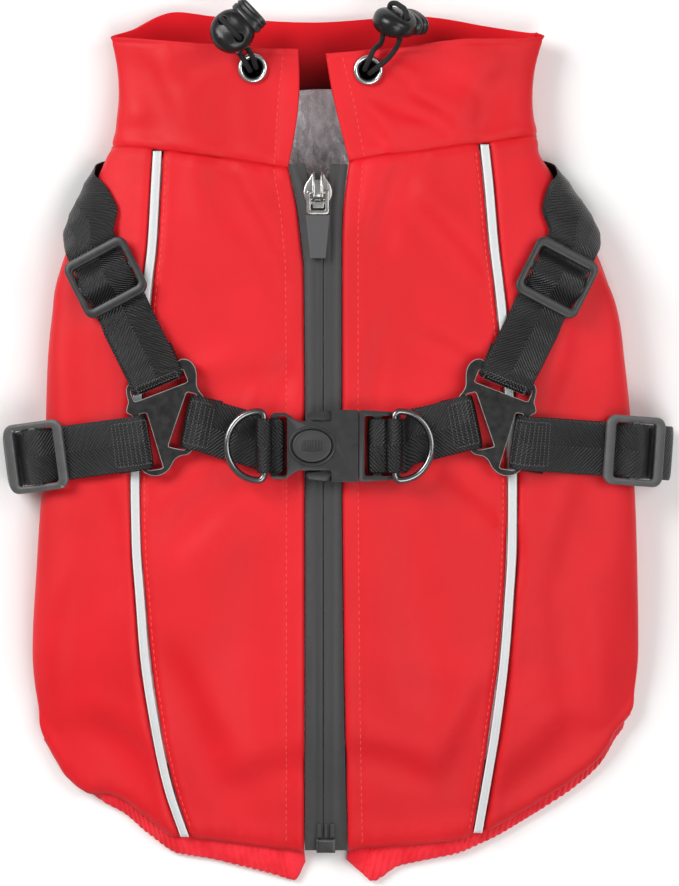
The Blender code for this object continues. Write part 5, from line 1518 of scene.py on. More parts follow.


# Inside each eyelet a dark cup: its wall stands for the real barrel, and its closed floor and dark colour are
# painted shade over the cord channel
EYELET_BARREL_SHADE = pale_edge_finish("eyelet_barrel_and_shade", (0.12, 0.12, 0.12, 1), (0.03, 0.03, 0.03, 1), 0.3, 4.0, 1.0)
for hand in HANDS:
    flange, barrel, hole = (EYELET[k] / 2 for k in ("flange", "barrel", "hole"))
    roll = sweep(0, 180, 13)
    mid, half = (flange + hole) / 2, (flange - hole) / 2
    top = [(mid + half * math.cos(a), 0.25 + 0.85 * math.sin(a)) for a in roll]
    rim = top + [(hole, -WALL - 0.2), (barrel, -WALL - 0.2), (barrel, SEAM * 0.8), (flange - 0.1, SEAM * 0.8)]
    tight = hole - 0.12
    # The closed floor 3.3 mm down is painted shade, a dark sheet where the channel lies in shadow
    wall = [(tight, 0.15), (tight, -3.2), (0.05, -3.3), (0.05, -3.6), (tight + 0.3, -3.6),
            (tight + 0.3, 0.05)]
    spot = placed(EYELETS[hand], (1, 0, 0), (0, 1, 0))
    fit("eyelet_ring_" + hand, spot, turned_ring(rim, 72), NICKEL, "nickel", ["eyelet_" + hand], loop=True)
    fit("eyelet_barrel_and_shade_" + hand, spot, turned_ring(wall, 72), EYELET_BARREL_SHADE, "nickel", loop=True)


def lock_frame(hand):
    """Local Z along the cord through the lock, local X from one cord hole to the other"""
    axis = Vector(LOCKS[hand]["axis"])
    side = axis.cross(Vector(LOCKS[hand]["pair"]))
    return placed(LOCKS[hand]["at"], side.cross(axis), side)


def plunger_place(hand):
    """Local Z out of the lock's rim, along the way the plunger is pressed"""
    swap = Matrix.Rotation(math.radians(-90), 4, "X")
    return lock_frame(hand) @ swap @ moved((0, 0, PLUNGER["from"]))


def lock_grid():
    """A flattened ball from pole to pole: both faces have a rim, a dish along the line between the
    two cord holes, and a deep dimple at each hole"""
    polar, turn = np.linspace(0.02, np.pi - 0.02, 90)[:, None], circle(96)[None, :]
    reach = LOCK["width"] / 2 * np.sin(polar) ** 0.9
    x, y = reach * np.cos(turn), reach * np.sin(turn)
    z = LOCK["depth"] / 2 * squared(np.cos(polar), 0.8) + 0 * turn
    aside = np.abs(x) - LOCK["spread"]
    dish = 0.5 * np.exp(-(np.hypot(np.clip(aside, 0, None), y) / 3.6) ** 4)
    dimple = 2.6 * np.exp(-(np.hypot(aside, y) / (LOCK["hole"] / 2)) ** 6)
    return np.stack([x, y, z - np.sign(z) * np.minimum(dish + dimple, np.abs(z) * 0.9)], -1)


# Size of the plunger's oval, going out along it
PLUNGER_STEPS = table("""
high size
-1.5 0.86
-0.1 0.88
 0.2 0.97
 0.8    1
   2    1
 2.3 0.94
 2.7 0.94
   3    1
 3.5    1
 3.8 0.94
 4.2 0.94
 4.5 0.98
   5 0.94
 5.3 0.84
 5.4  0.7
5.45  0.4
5.45 0.05
""")


def plunger_grid():
    """Ovals along the plunger: its neck in the lock, a hooded body with two grip grooves, and a
    rounded end"""
    turn = circle(48)
    high, size = PLUNGER_STEPS["high"][:, None], PLUNGER_STEPS["size"][:, None]
    x = PLUNGER["long"] / 2 * squared(np.cos(turn), 0.8) * size
    y = PLUNGER["high"] / 2 * squared(np.sin(turn), 0.8) * size
    return np.stack([x, y, high + 0 * x], -1)


for hand in HANDS:
    fit("lock_body_" + hand, lock_frame(hand), lock_grid(), MOULDED, "moulded", ["cord_lock_" + hand])
    fit("lock_button_" + hand, plunger_place(hand), plunger_grid(), MOULDED, "moulded",
        ["lock_plunger_" + hand], "plunger_" + hand)

# -------------------------------- webbing
# Black polyester webbing, woven in a herringbone. The harness runs from the plates over the
# shoulders and round the chest, and its ends are folded round the bars and sewn to themselves.

WEB = 19.0  # width of the webbing
WEB_T = 1.3
LOW = WEB_T / 2 + 0.01  # middle of webbing that lies on the table
BAR_T = 2.4  # thickness of the moulded bars
PLATE_LIFT = SEAM + WEB_T + SEAM + BAR_T / 2 + 0.9  # middle of a plate above the cloth
HARNESS_X = -2.7  # centre line of the harness
PLATE_X = 59.3  # middle of a plate from that line
PLATE_Y = 9.0
BAR_W = 2.6
# Bars of the left plate from its middle, with the direction that their straps leave in
BARS = {"shoulder": (-2.2, 14.0, 112.5), "centre": (11.6, -2.2, -12.0), "girth": (-7.5, -9.2, -170.7)}
# Width at both ends of the slot behind each bar
SLOT_ENDS = {"shoulder": (4.2, 4.8), "centre": (3.6, 6.0), "girth": (5.4, 2.7)}
# Edge of the left plate from its middle: a lobe at each corner, with a notch on its sides
PLATE_EDGE = table("""
    x     y
  5.6  19.4
  7.4  20.5
 10.2  19.7
 12.1  17.2
 12.5  14.2
 12.3  11.2
 13.2     9
 14.9   7.2
 14.9   5.6
 11.2 -10.4
 10.6 -12.4
    9 -13.4
  6.6 -13.7
  4.6   -15
  3.5 -17.6
  1.4 -19.8
 -1.4 -20.9
 -4.2 -20.5
 -6.6 -19.2
 -7.5 -17.2
 -9.3  -1.6
-10.4   0.6
-12.4   1.2
-12.2   3.2
-11.5     5
-12.2   7.2
-12.5   9.6
-11.8  11.3
 -9.4  12.5
  4.4  18.2
""")

ADJUSTER = {"along": 21.6, "across": 23.8, "rail": 2.0, "bar": 3.0, "radius": 3.2}
RIDE = BAR_T / 2 + SEAM + WEB_T / 2  # strap's middle above or below a bar's middle
SHOULDER = {"left": (-81.6, 57.7), "right": (76.2, 57.7)}
# Strap over the shoulder: its middle's reach round the section, and the lift off the cloth
# of its edges towards the neck and towards the table
OVER_SHOULDER = table("""
reach    y neck table
    9 75.6  1.6   2.8
    6 79.4  1.8   4.4
    2 83.4  2.2   5.4
   -2 86.5  2.8     5
   -6 88.9  3.2   3.6
  -10 90.6  3.2   2.4
  -14 91.9  2.6   1.6
  -20   93  1.2     1
""")

WRAP_COLUMNS = 5
YOKE_START = 36.0  # the yoke takes over this far round under the shoulder
YOKE_Y = (93.0, 80.0)  # outer end and middle of the yoke
CHEST = {
    "left": {"adjuster": 36.9, "drop": -0.132, "bulge": 2.7},
    "right": {"adjuster": 39.4, "drop": -0.07, "bulge": 8.3},
}
CHEST_TILT = 21.5
CHEST_END = 88.0  # the belly strap takes over here, from the harness's centre line
BELLY_STRAP_Y = -3.5
BUCKLE = {"y": -1.2, "height": 7.0, "lift": 1.3}
RING = {"wire": 2.4, "bar_half": 11.0, "depth": 13.0}
RING_BAR = {"left": {"x": -26.2, "above": 4.3, "seat": 1.2}, "right": {"x": 19.4, "above": 2.9, "seat": 0.5}}
END_BAR = {"left": -22.6, "right": 13.6}
REAR_PASS = 1.75  # the right strap's middle runs this far below the buckle's, under its rear bar


def turned(hand, x, y):
    return np.array((x if hand == "left" else -x, y))


def bar_line(hand, name):
    """Middle of a bar, its direction and the direction that its strap leaves in"""
    x, y, angle = BARS[name]
    angle = math.radians(angle)
    away = turned(hand, math.cos(angle), math.sin(angle))
    return turned(hand, x, y), np.array((away[1], -away[0])), away


def slot_line(hand, name):
    """Corners of the slot behind a bar, which is as long as the webbing is wide and widens"""
    middle, run, away = bar_line(hand, name)
    run = run * -out(hand) * (WEB + 1.0) / 2
    first, last = SLOT_ENDS[name]
    start = middle - away * BAR_W / 2
    return np.array([start - run, start + run, start + run - away * last, start - run - away * first])


def plate_centre(hand):
    return np.array((HARNESS_X + out(hand) * PLATE_X, PLATE_Y))


def plate_frame(hand):
    x, y = plate_centre(hand)
    dx = (top_z(hand, x + 9, y) - top_z(hand, x - 9, y)) / 18
    dy = (top_z(hand, x, y + 12) - top_z(hand, x, y - 12)) / 24
    z = top_z(hand, x, y) + PLATE_LIFT
    return placed((x, y, z), (1, 0, dx), (0, 1, dy))


def rows_in(place, stations, columns=3):
    """Straight rows across a strap at (along, height) in a piece's own frame"""
    return [put(place, [(x, y, z) for y in np.linspace(-WEB / 2, WEB / 2, columns)]) for x, z in stations]


def level_row(x, y, columns=3):
    """A row across a strap that lies on the table"""
    return [(x, y + k * WEB / 2, LOW) for k in np.linspace(-1, 1, columns)]


def through_adjuster(place, columns=3):
    """Rows of a strap that goes under, over and under the bars, along local X"""
    stations = [(x, RIDE if abs(x) < 3 else -RIDE) for x in (-13.6, -10.9, -7.4, -1.9, 1.9, 7.4, 10.9, 13.6)]
    return rows_in(place, stations, columns)


def surface_rows(hand, middles, run, lifts, columns=3):
    """Rows across a strap that lies on the upper layer, square to the way it runs"""
    side = np.array((-run[1], run[0])) / math.hypot(*run) * WEB / 2
    flat = np.asarray(middles)[:, None] + side * np.linspace(-1, 1, columns)[None, :, None]
    high = top_z(hand, flat[..., 0], flat[..., 1]) + np.asarray(lifts)[:, None]
    return list(np.concatenate([flat, high[..., None]], -1))


def round_bar(side):
    """Half a turn of webbing behind a bar, from below it up (side -1) or from above it down"""
    return [(-0.9 - RIDE * math.sin(a), side * RIDE * math.cos(a)) for a in np.radians([0, 45, 90, 135, 180])]


def bar_foot(hand, name):
    return plate_centre(hand) + bar_line(hand, name)[0]


def fold_rows(hand, name, back, columns=3):
    """Rows of a strap's end at a plate: a short leg under a bar, up through the slot and over it"""
    middle, _, away = bar_line(hand, name)
    turn = Matrix.Rotation(math.atan2(away[1], away[0]), 4, "Z")
    stations = [(back, -RIDE), (2.0, -RIDE)] + round_bar(-1) + [(2.0, RIDE)]
    return rows_in(plate_frame(hand) @ moved((*middle, 0)) @ turn, stations, columns)


def around(hand, reach, y, lift):
    """A point at this distance round the section from the silhouette, above it if positive"""
    edge = float(side_x(hand, y))
    x = zip_x(hand, y) + (edge - zip_x(hand, y)) * (1 - np.linspace(0, 1, 60) ** 2 * 0.6)
    upper = np.stack([x, top_z(hand, x, np.full_like(x, y))], -1)
    side = read(LOFT, "side", along_of(hand, edge, y))
    angle = sweep(0, 90, 12)[1:]
    turn = np.stack([edge - out(hand) * EDGE_TURN * (1 - np.cos(angle)),
                     side - (side - UNDER) * np.sin(angle)], -1)
    line = np.concatenate([upper[::-1], turn, [[edge - out(hand) * 75.0, UNDER]]])
    gone = lengths(line)
    gone = gone[len(upper) - 1] - gone
    behind, point, ahead = read_line(reach + np.array((-1.5, 0, 1.5)), gone[::-1], line[::-1])
    tangent = unit(ahead - behind)
    normal = np.array((tangent[1], -tangent[0])) * -out(hand)
    normal = -normal if normal @ np.array((out(hand), 0.2 if reach > 0 else -0.2)) < 0 else normal
    x, z = point + normal * lift
    return (x, y, max(z, LOW))


def shoulder_frame(hand):
    x, y = SHOULDER[hand]
    foot = bar_foot(hand, "shoulder")
    run = unit(np.array((x, y)) - foot)
    cross = np.array((-run[1], run[0]))
    rises = [(top_z(hand, x + way[0] * 9, y + way[1] * 9) - top_z(hand, x - way[0] * 9, y - way[1] * 9)) / 18
             for way in (run, cross)]
    z = top_z(hand, x, y) + RIDE + WEB_T / 2 + SEAM + 0.9
    return placed((x, y, z), (*run, rises[0]), (*cross, rises[1])), foot, run


def align(rows):
    """Turns each row so that its ends follow on from the row before"""
    rows = [np.array(row) for row in rows]
    for i in range(1, len(rows)):
        straight, crossed = (np.linalg.norm(row - rows[i - 1], axis=1).sum()
                             for row in (rows[i], rows[i][::-1]))
        if crossed < straight:
            rows[i] = rows[i][::-1]
    return np.array(rows)


def shoulder_rows(hand):
    """From the plate through its adjuster, over the shoulder and under the chest"""
    place, foot, run = shoulder_frame(hand)
    rows = fold_rows(hand, "shoulder", 9.0, WRAP_COLUMNS)
    spans = np.array([7.0, 12.0, 17.0, 21.0])
    spans = spans[spans < np.linalg.norm(np.array(SHOULDER[hand]) - foot) - 15]
    lifts = np.interp(spans, [5, 12, 25], [4.9, 3.2, 1.6])
    rows += surface_rows(hand, foot + spans[:, None] * run, run, lifts, WRAP_COLUMNS)
    rows += through_adjuster(place, WRAP_COLUMNS)
    line = np.stack([OVER_SHOULDER["reach"], OVER_SHOULDER["y"]], -1)
    ahead = unit(np.gradient(line, axis=0))
    for (reach, y), (dr, dy), neck, low in zip(line, ahead, OVER_SHOULDER["neck"], OVER_SHOULDER["table"]):
        rows.append([around(hand, reach + dy * k, y - dr * k, low + (neck - low) * (k / WEB + 0.5))
                     for k in np.linspace(-WEB / 2, WEB / 2, WRAP_COLUMNS)])
    edge = side_x(hand, YOKE_Y[0])
    rows += [level_row(edge - out(hand) * inward, YOKE_Y[0], WRAP_COLUMNS)
             for inward in (YOKE_START - 7.0, YOKE_START - SEAM)]
    return align(rows)


def yoke_rows(hand):
    """Under the chest from the shoulder to the middle, flat on the table"""
    start, end = side_x(hand, YOKE_Y[0]) - out(hand) * YOKE_START, out(hand) * SEAM / 2 + HARNESS_X
    return np.array([level_row(start + (end - start) * t, YOKE_Y[0] + (YOKE_Y[1] - YOKE_Y[0]) * t)
                     for t in (0.0, 0.5, 1.0)])


def chest_rows(hand):
    """From the plate through its adjuster, round the edge of the coat and under it"""
    rows = fold_rows(hand, "girth", 9.0)
    foot, chest = bar_foot(hand, "girth"), CHEST[hand]
    run = unit(np.array((out(hand), chest["drop"])))
    rows += surface_rows(hand, [foot + run * s for s in (8.0, 13.0, 18.0)], run, [4.6, 3.4, 2.4])
    tilt = math.radians(CHEST_TILT)
    z = top_z(hand, *(foot + run * 22)) - math.tan(tilt) * (chest["adjuster"] - 22) + 5.2
    along = (run[0] * math.cos(tilt), run[1] * math.cos(tilt), -math.sin(tilt))
    place = placed((*(foot + run * chest["adjuster"]), z), along, (-run[1], run[0], 0))
    rows += through_adjuster(place)[1:-2] + rows_in(place, [(9.8, -RIDE)])
    last, bulge = rows[-1][1], chest["bulge"]
    first = math.atan((last[2] - LOW) / 2 / (math.tan(tilt) * bulge))
    rise = (last[2] - LOW) / (1 + math.sin(first))
    turn = []
    for angle in np.concatenate([np.linspace(first, 0, 5)[1:], np.radians([-22, -45, -67, -90])]):
        flat = last[:2] + run * bulge * (math.cos(angle) - math.cos(first))
        turn.append(np.array((*flat, LOW + rise * (1 + math.sin(angle)))))
    wide = np.array((-run[1], run[0], 0)) * WEB / 2
    rows += [[spot + wide * k for k in (-1, 0, 1)] for spot in turn]
    inner = HARNESS_X + out(hand) * CHEST_END
    rows += [level_row(x, BELLY_STRAP_Y) for x in ((turn[-1][0] + inner) / 2, inner + out(hand) * SEAM)]
    return align(rows), place


def buckle_height():
    """Middle of the buckle above the table"""
    return zip_height(BUCKLE["y"]) + BUCKLE["lift"] + BUCKLE["height"] / 2


def centre_rows(hand):
    """From the plate to the buckle, folded round a bar at both ends"""
    rows = fold_rows(hand, "centre", 8.0)
    foot, goal = bar_foot(hand, "centre"), np.array((END_BAR[hand], BUCKLE["y"]))
    length = np.linalg.norm(goal - foot)
    run = (goal - foot) / length
    spans = np.linspace(7, length - (8 if hand == "left" else 12), 3)
    lifts = np.interp(spans, [5, 12, length], [4.9, 3.4, 2.6])
    rows += surface_rows(hand, foot + spans[:, None] * run, (run[0], 0.6 * run[1]), lifts)
    turn = Matrix.Rotation(math.pi if hand == "left" else 0, 4, "Z")
    stations = [(2.0, RIDE)] + round_bar(1) + [(2.0, -RIDE)]
    if hand == "right":
        stations = [(9.4, -REAR_PASS), (5.6, -REAR_PASS)] + stations
    return align(rows + rows_in(moved((*goal, buckle_height())) @ turn, stations))


def ring_frame(hand):
    """Local X from the ring's bar to its arc, local Y along the bar"""
    spot = RING_BAR[hand]["x"], BUCKLE["y"], buckle_height() + RING_BAR[hand]["above"]
    return placed(spot, (out(hand), 0, -0.05), (0, out(hand), 0))


def loop_rows(hand):
    """Short webbing loop over the ring's bar, sewn to the strap beneath"""
    reach = RING["wire"] / 2 + SEAM + WEB_T / 2
    arch = [(reach * math.sin(a), reach * math.cos(a)) for a in np.radians([80, 50, 20, -10, -40, -70])]
    ends = [(-reach, -0.2), (-reach, -RING_BAR[hand]["seat"])]
    return np.array(rows_in(ring_frame(hand), [(reach + 0.1, -0.5)] + arch + ends))


def herringbone_effect():
    """Height of herringbone webbing in its own map: slanted wales that turn about the middle,
    with fine ribs along them and yarns across"""
    tree, given, result = effect("herringbone", {"Height": "Float", "Lit": "Float"}, Where=None, Width=19.0,
                                 Wale=1.25)
    across, gone, _ = split(tree, given["Where"])
    middle = maths(tree, "DIVIDE", given["Width"], 2)
    aside = maths(tree, "PINGPONG", maths(tree, "SUBTRACT", across, middle), middle)
    slant = maths(tree, "MULTIPLY_ADD", aside, 0.9, gone)
    turn = maths(tree, "MULTIPLY", maths(tree, "DIVIDE", slant, given["Wale"]), 2 * math.pi)
    rib = maths(tree, "SINE", maths(tree, "MULTIPLY", across, 2 * math.pi / 0.62))
    yarn = maths(tree, "SINE", maths(tree, "MULTIPLY", gone, 2 * math.pi / 0.5))
    both = maths(tree, "ADD", maths(tree, "SINE", turn), maths(tree, "MULTIPLY", rib, 0.35))
    high = maths(tree, "MULTIPLY_ADD", yarn, 0.15, both)
    tree.links.new(high, result["Height"])
    tree.links.new(ranged(tree, high, -0.9, 1.4), result["Lit"])
    return tree


HERRINGBONE = herringbone_effect()


def webbing_finish():
    """Black yarn with a dull shine: the shader's own, and a painted highlight that colours the raised wales
    paler
    """
    made, tree, shader = finish_of("webbing_black", 0.34, specular=0.46)
    pattern = placed_effect(tree, HERRINGBONE, Where=on_cloth(tree))
    lit_drift = maths(tree, "ADD", noise(tree, in_mm(tree), 0.15, 3.0), 0.35)
    # Painted highlight: the raised wales are coloured paler, unevenly by a slow noise
    lit = maths(tree, "MULTIPLY", pattern["Lit"], lit_drift)
    paint(tree, shader, blended(tree, lit, (0.001, 0.001, 0.0012, 1), (0.026, 0.026, 0.028, 1)))
    relief(tree, shader, pattern["Height"], 0.8, 0.16)
    return made


WEBBING = webbing_finish()


def fine_rows(rows, step, columns):
    """Rows of a strap drawn closer along it, and across it to given shares of its width"""
    rows = np.asarray(rows, float)
    gone = lengths(rows.mean(1))
    at = np.linspace(0, gone[-1], max(int(gone[-1] / step), 3))
    long = np.stack([[smooth(gone, rows[:, c, k], at) for k in range(3)] for c in range(rows.shape[1])])
    share = np.linspace(-1, 1, rows.shape[1])
    return np.stack([read_line(columns, share, row) for row in long.transpose(2, 0, 1)])


def strap_grid(rows, step=0.7):
    """Webbing round its middle surface: thin at the selvedges, full between them"""
    columns = np.sin(np.linspace(-np.pi / 2, np.pi / 2, 13))
    middle = fine_rows(rows, step, columns)
    half = WEB_T / 2 * (1 - np.abs(columns) ** 5) ** 0.5
    half = np.maximum(half, 0.02)[None, :, None] * face_normals(middle)
    return np.concatenate([middle + half, (middle - half)[:, ::-1]], 1)


def strap(name, rows, nodes, step=0.7):
    return closed(name, strap_grid(rows, step), WEBBING, "webbing", nodes)


def flat_rows(start, end, across):
    """Rows of a strap that lies flat on the table from one point to another"""
    start, end, across = (np.array((*k, 0.0)) for k in (start, end, across))
    line = start + np.linspace(0, 1, 4)[:, None, None] * (end - start) + (0, 0, LOW)
    return line + np.linspace(-1, 1, 3)[None, :, None] * across * WEB / 2


for hand in HANDS:
    strap("strap_shoulder_" + hand, shoulder_rows(hand), ["shoulder_strap_" + hand])
    strap("strap_yoke_" + hand, yoke_rows(hand), ["yoke_strap_" + hand])
    strap("strap_chest_" + hand, chest_rows(hand)[0], ["chest_strap_" + hand])
    strap("strap_centre_" + hand, centre_rows(hand), ["centre_strap_" + hand], 0.45)
    strap("loop_ring_" + hand, loop_rows(hand), ["ring_loop_" + hand], 0.3)
strap("strap_belly", flat_rows((HARNESS_X - CHEST_END, BELLY_STRAP_Y), (HARNESS_X + CHEST_END, BELLY_STRAP_Y),
                               (0, 1)), ["belly_strap"])
strap("strap_sternum", flat_rows((HARNESS_X, YOKE_Y[1] - WEB / 2 - SEAM),
                                 (HARNESS_X, BELLY_STRAP_Y + WEB / 2 + SEAM), (1, 0)), ["sternum_strap"])

# -------------------------------- moulded hardware
# Black moulded nylon, slightly grained: two triangular plates with three bars, four
# adjusters whose middle bars grip the webbing, and the side-release buckle.

# Painted highlight: the plates' upward rim faces, marked rim, take the pale colour
PLATE_RIM_LIT_FINISH = pale_edge_finish("plate_black", (0.42, 0.41, 0.40, 1), (0.004, 0.004, 0.0045, 1), 0.42, 4.0,
                             pale_by="rim", specular=0.08)
SHOULDER_FINISH = pale_edge_finish("adjuster_black", (0.15, 0.15, 0.153, 1), (0.010, 0.010, 0.0105, 1), 0.34,
                                4.0, specular=0.4)
# Painted light: the chest adjusters are the same black nylon, made paler where they tilt over the coat's edge
# into the light
CHEST_LIT_FINISH = pale_edge_finish("adjuster_painted_light", (0.30, 0.30, 0.305, 1), (0.050, 0.050, 0.051, 1), 0.42,
                             4.0, specular=0.5)
BUCKLE_FINISH = pale_edge_finish("buckle_black", (0.15, 0.15, 0.153, 1), (0.030, 0.030, 0.031, 1), 0.3, 3.0,
                              pale_by="", specular=0.25)
BUTTON_FINISH = pale_edge_finish("button_black", (0.085, 0.085, 0.087, 1), (0.028, 0.028, 0.029, 1), 0.4, 3.0,
                              pale_by="")


def adjuster(spot, place, finish):
    """A rounded frame with soft edges, and a ribbed bar across its middle"""
    length, width, rail, bar, swell = *(ADJUSTER[k] for k in ("along", "across", "rail", "bar")), 0.35
    outer = rounded(length + 2 * swell, width + 2 * swell, ADJUSTER["radius"] + swell, count=128)
    inner = rounded(length - 2 * bar - swell, width - 2 * rail - swell, 1.3, count=128)
    fit("slide_" + spot, place, window_ring(outer, inner, BAR_T, 0.5), finish, "moulded", ["adjuster_" + spot],
        loop=True)
    reach = width / 2 - rail + 0.4
    y = np.linspace(-reach, reach, 60)[:, None]
    grip = 1 + 0.05 * np.cos(y * 2 * np.pi / 1.6)
    wide = bar / 2 * squared(np.cos(circle(20)), 0.6)
    high = (BAR_T / 2 - 0.05) * squared(np.sin(circle(20)), 0.6)
    grid = np.stack([grip * wide, y + 0 * wide, grip * high], -1)
    fit(f"slide_{spot}_bar", place, grid, finish, "moulded")


for hand in HANDS:
    adjuster("shoulder_" + hand, shoulder_frame(hand)[0], SHOULDER_FINISH)
    adjuster("chest_" + hand, chest_rows(hand)[1], CHEST_LIT_FINISH)


def moulding(name, outlines, thick, rim, place, finish):
    """A flat piece cut from outlines and their windows, extruded, its rims rounded"""
    data = bpy.data.curves.new(name, "CURVE")
    data.dimensions, data.fill_mode = "2D", "BOTH"
    data.extrude, data.bevel_depth, data.offset = (thick / 2 - rim) * MM, rim * MM, -rim * MM
    data.bevel_resolution = 3
    for outline in outlines:
        spline = data.splines.new("POLY")
        spline.points.add(len(outline) - 1)
        spline.use_cyclic_u = True
        flat = raised(raised(outline * MM, 0), 1)
        spline.points.foreach_set("co", flat.ravel())
    curve = stand(name + "_curve", data)
    solid = shape_of(curve)
    bpy.data.objects.remove(curve)
    # Faces of the upward-turned rims are marked rim, for a painted highlight on the plates
    normal = np.zeros((len(solid.polygons), 3))
    solid.polygons.foreach_get("normal", normal.ravel())
    lit_rim = (normal[:, 2] > 0.2) & (normal[:, 2] < 0.97)
    solid.attributes.new("rim", "FLOAT", "FACE").data.foreach_set("value", lit_rim.astype(np.float32))
    solid.transform(moved(TO_MIDDLE) @ place)
    solid.materials.clear()
    solid.materials.append(finish)
    merge(solid, sharp=30)
    return stand(name, solid)


def merge(data, sharp=None, flat=None):
    """Merges doubles and shades smooth. Faces are turned out and stay sharp past one angle, or are
    joined where they are flat to within another"""
    shape = bmesh.new()
    shape.from_mesh(data)
    bmesh.ops.remove_doubles(shape, verts=shape.verts[:], dist=0.00001)
    if flat:
        bmesh.ops.dissolve_limit(shape, angle_limit=math.radians(flat), verts=shape.verts[:],
                                 edges=shape.edges[:])
    else:
        bmesh.ops.recalc_face_normals(shape, faces=shape.faces[:])
    shape.to_mesh(data)
    shape.free()
    data.shade_smooth()
    if sharp:
        data.set_sharp_from_angle(angle=math.radians(sharp))


def plate_lines(hand):
    outline = turned(hand, PLATE_EDGE["x"], PLATE_EDGE["y"]).T
    return [round_line(outline, 200)] + [round_line(slot_line(hand, name), 60, 1.3) for name in BARS]


for hand in HANDS:
    piece = moulding("plate_black_" + hand, plate_lines(hand), BAR_T, 0.4, plate_frame(hand), PLATE_RIM_LIT_FINISH)
    fasten(piece, ["plate_" + hand])


def softened(node, name, width, finish):
    """A copy of a moulded solid: loose triangles merged, flat faces joined, edges rounded"""
    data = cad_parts[node].data.copy()
    merge(data, flat=3)
    data.materials.clear()
    data.materials.append(finish)
    made = stand(name, data)
    edge = made.modifiers.new("rims", "BEVEL")
    edge.width, edge.segments = width * MM, 3
    edge.limit_method, edge.angle_limit = "ANGLE", math.radians(40)
    edge.harden_normals = True
    return made


for node, name, width in (("buckle_female", "buckle_body", 0.55), ("buckle_male", "buckle_prongs", 0.45)):
    fasten(softened(node, name, width, BUCKLE_FINISH), [node])


BUTTON = {"x": -9.4, "length": 13.9, "width": 11.5, "foot": 1.5}


def buckle_button():
    """An oval push button, slightly dished, with a row of upright grip ribs across its middle"""
    place = moved((BUTTON["x"], BUCKLE["y"], buckle_height()))
    top = BUCKLE["height"] / 2 + 0.25
    pad = slab(oval(BUTTON["length"], BUTTON["width"], 72), BUTTON["foot"], top, 0.5, -0.3)
    fit("buckle_oval", place, pad, BUTTON_FINISH, "moulded", ["buckle_button"])
    for i, x in enumerate(np.linspace(-3.0, 3.0, 7)):
        tall = 2.0 * math.sqrt(1 - (x / 4.6) ** 2)
        rib = finer([(x, -tall, top - 0.25), (x, 0, top - 0.15), (x, tall, top - 0.25)], 10)
        fit(f"button_rib_{i}", place, tube(rib, 0.3, 8), BUTTON_FINISH, "moulded")
    rim = raised(oval(BUTTON["length"] + 2.0, BUTTON["width"] + 2.0, 96), BUCKLE["height"] / 2 - 0.12)
    fit("button_rim", place, tube(rim, 0.5, 10, loop=True), BUCKLE_FINISH, "moulded", loop=True)


buckle_button()

# -------------------------------- D-rings
# Bent and welded steel wire, plated dark: each hangs in its webbing loop on a straight bar
# and turns up on it.

GUNMETAL = pale_edge_finish("ring_gunmetal", (0.38, 0.38, 0.385, 1), (0.2, 0.2, 0.204, 1), 0.22, 3.0, 1.0,
                         pale_by="")


def ring_line():
    """The arc, then round a corner to the straight bar, along it, and round the other corner"""
    side, bend = RING["bar_half"] + 1.0, 2.0
    turn = sweep(-90, 90, 61)
    arc = np.stack([bend + (RING["depth"] - bend) * np.cos(turn), side * np.sin(turn)], -1)
    corner = np.radians(np.linspace(0, 90, 9)[1:-1])
    high = np.stack([bend * (1 - np.sin(corner)), side - bend * (1 - np.cos(corner))], -1)
    bar = np.stack([np.zeros(24), np.linspace(1, -1, 24) * (side - bend)], -1)
    line = np.concatenate([arc, high, bar, high[::-1] * (1, -1)])
    return raised(line, 0)


for hand in HANDS:
    ring = tube(ring_line(), RING["wire"] / 2, 20, loop=True)
    fit("ring_steel_" + hand, ring_frame(hand), ring, GUNMETAL, "gunmetal", ["d_ring_" + hand],
        "ring_" + hand, loop=True)

# -------------------------------- topstitching
# Lockstitch in polyester thread. Red rows run beside the zip, beside the piping and up
# the collar's front ends, and black rows tack the ends of the webbing, box after box.

def thread_finish(name, light, deep):
    made, tree, shader = finish_of(name, 0.5, specular=0.3)
    paint(tree, shader, blended(tree, noise(tree, in_mm(tree), 2.5), deep, light))
    return made


RED_THREAD = thread_finish("thread_red", (0.96, 0.10, 0.08, 1), (0.80, 0.03, 0.03, 1))
BLACK_THREAD = thread_finish("thread_black", (0.20, 0.20, 0.20, 1), (0.05, 0.05, 0.05, 1))


def stitch_row(lines, pitch, long, thick):
    """Stitches along lines on a surface: each is a thin rounded bar that dips at both ends. All
    their rings are worked out at once, from the lines' points, directions and normals"""
    spots, heads, ups = [], [], []
    for line, face in lines:
        gone = lengths(line)
        at = np.arange(pitch / 2, gone[-1] - pitch / 2, pitch)
        spots.append(read_line(at, gone, line))
        heads.append(unit(read_line(at + 0.4, gone, line) - spots[-1]))
        ups.append(read_line(at, gone, face))
    spot, head, up = (np.concatenate(k)[:, None] for k in (spots, heads, ups))
    side = np.cross(up, head)[:, None]
    level = np.array((-0.5, -0.4, -0.15, 0.15, 0.4, 0.5))[:, None] * long
    swell = np.array((0.35, 0.85, 1.0, 1.0, 0.85, 0.35))[:, None, None] * thick
    sink = np.array((-1.3, -0.5, 0.25, 0.25, -0.5, -1.3))[:, None] * thick
    turn = circle(6)[:, None]
    middle = spot + level * head + sink * up
    points = middle[:, :, None] + (np.cos(turn) * side + np.sin(turn) * up[:, None]) * swell
    number = np.arange(points[..., 0].size).reshape(points.shape[:3])
    after = np.roll(number, -1, 2)
    quads = np.stack([number[:, :-1], number[:, 1:], after[:, 1:], after[:, :-1]], -1).reshape(-1, 4)
    return points.reshape(-1, 3), quads.tolist() + number[:, 0].tolist() + number[:, -1, ::-1].tolist()


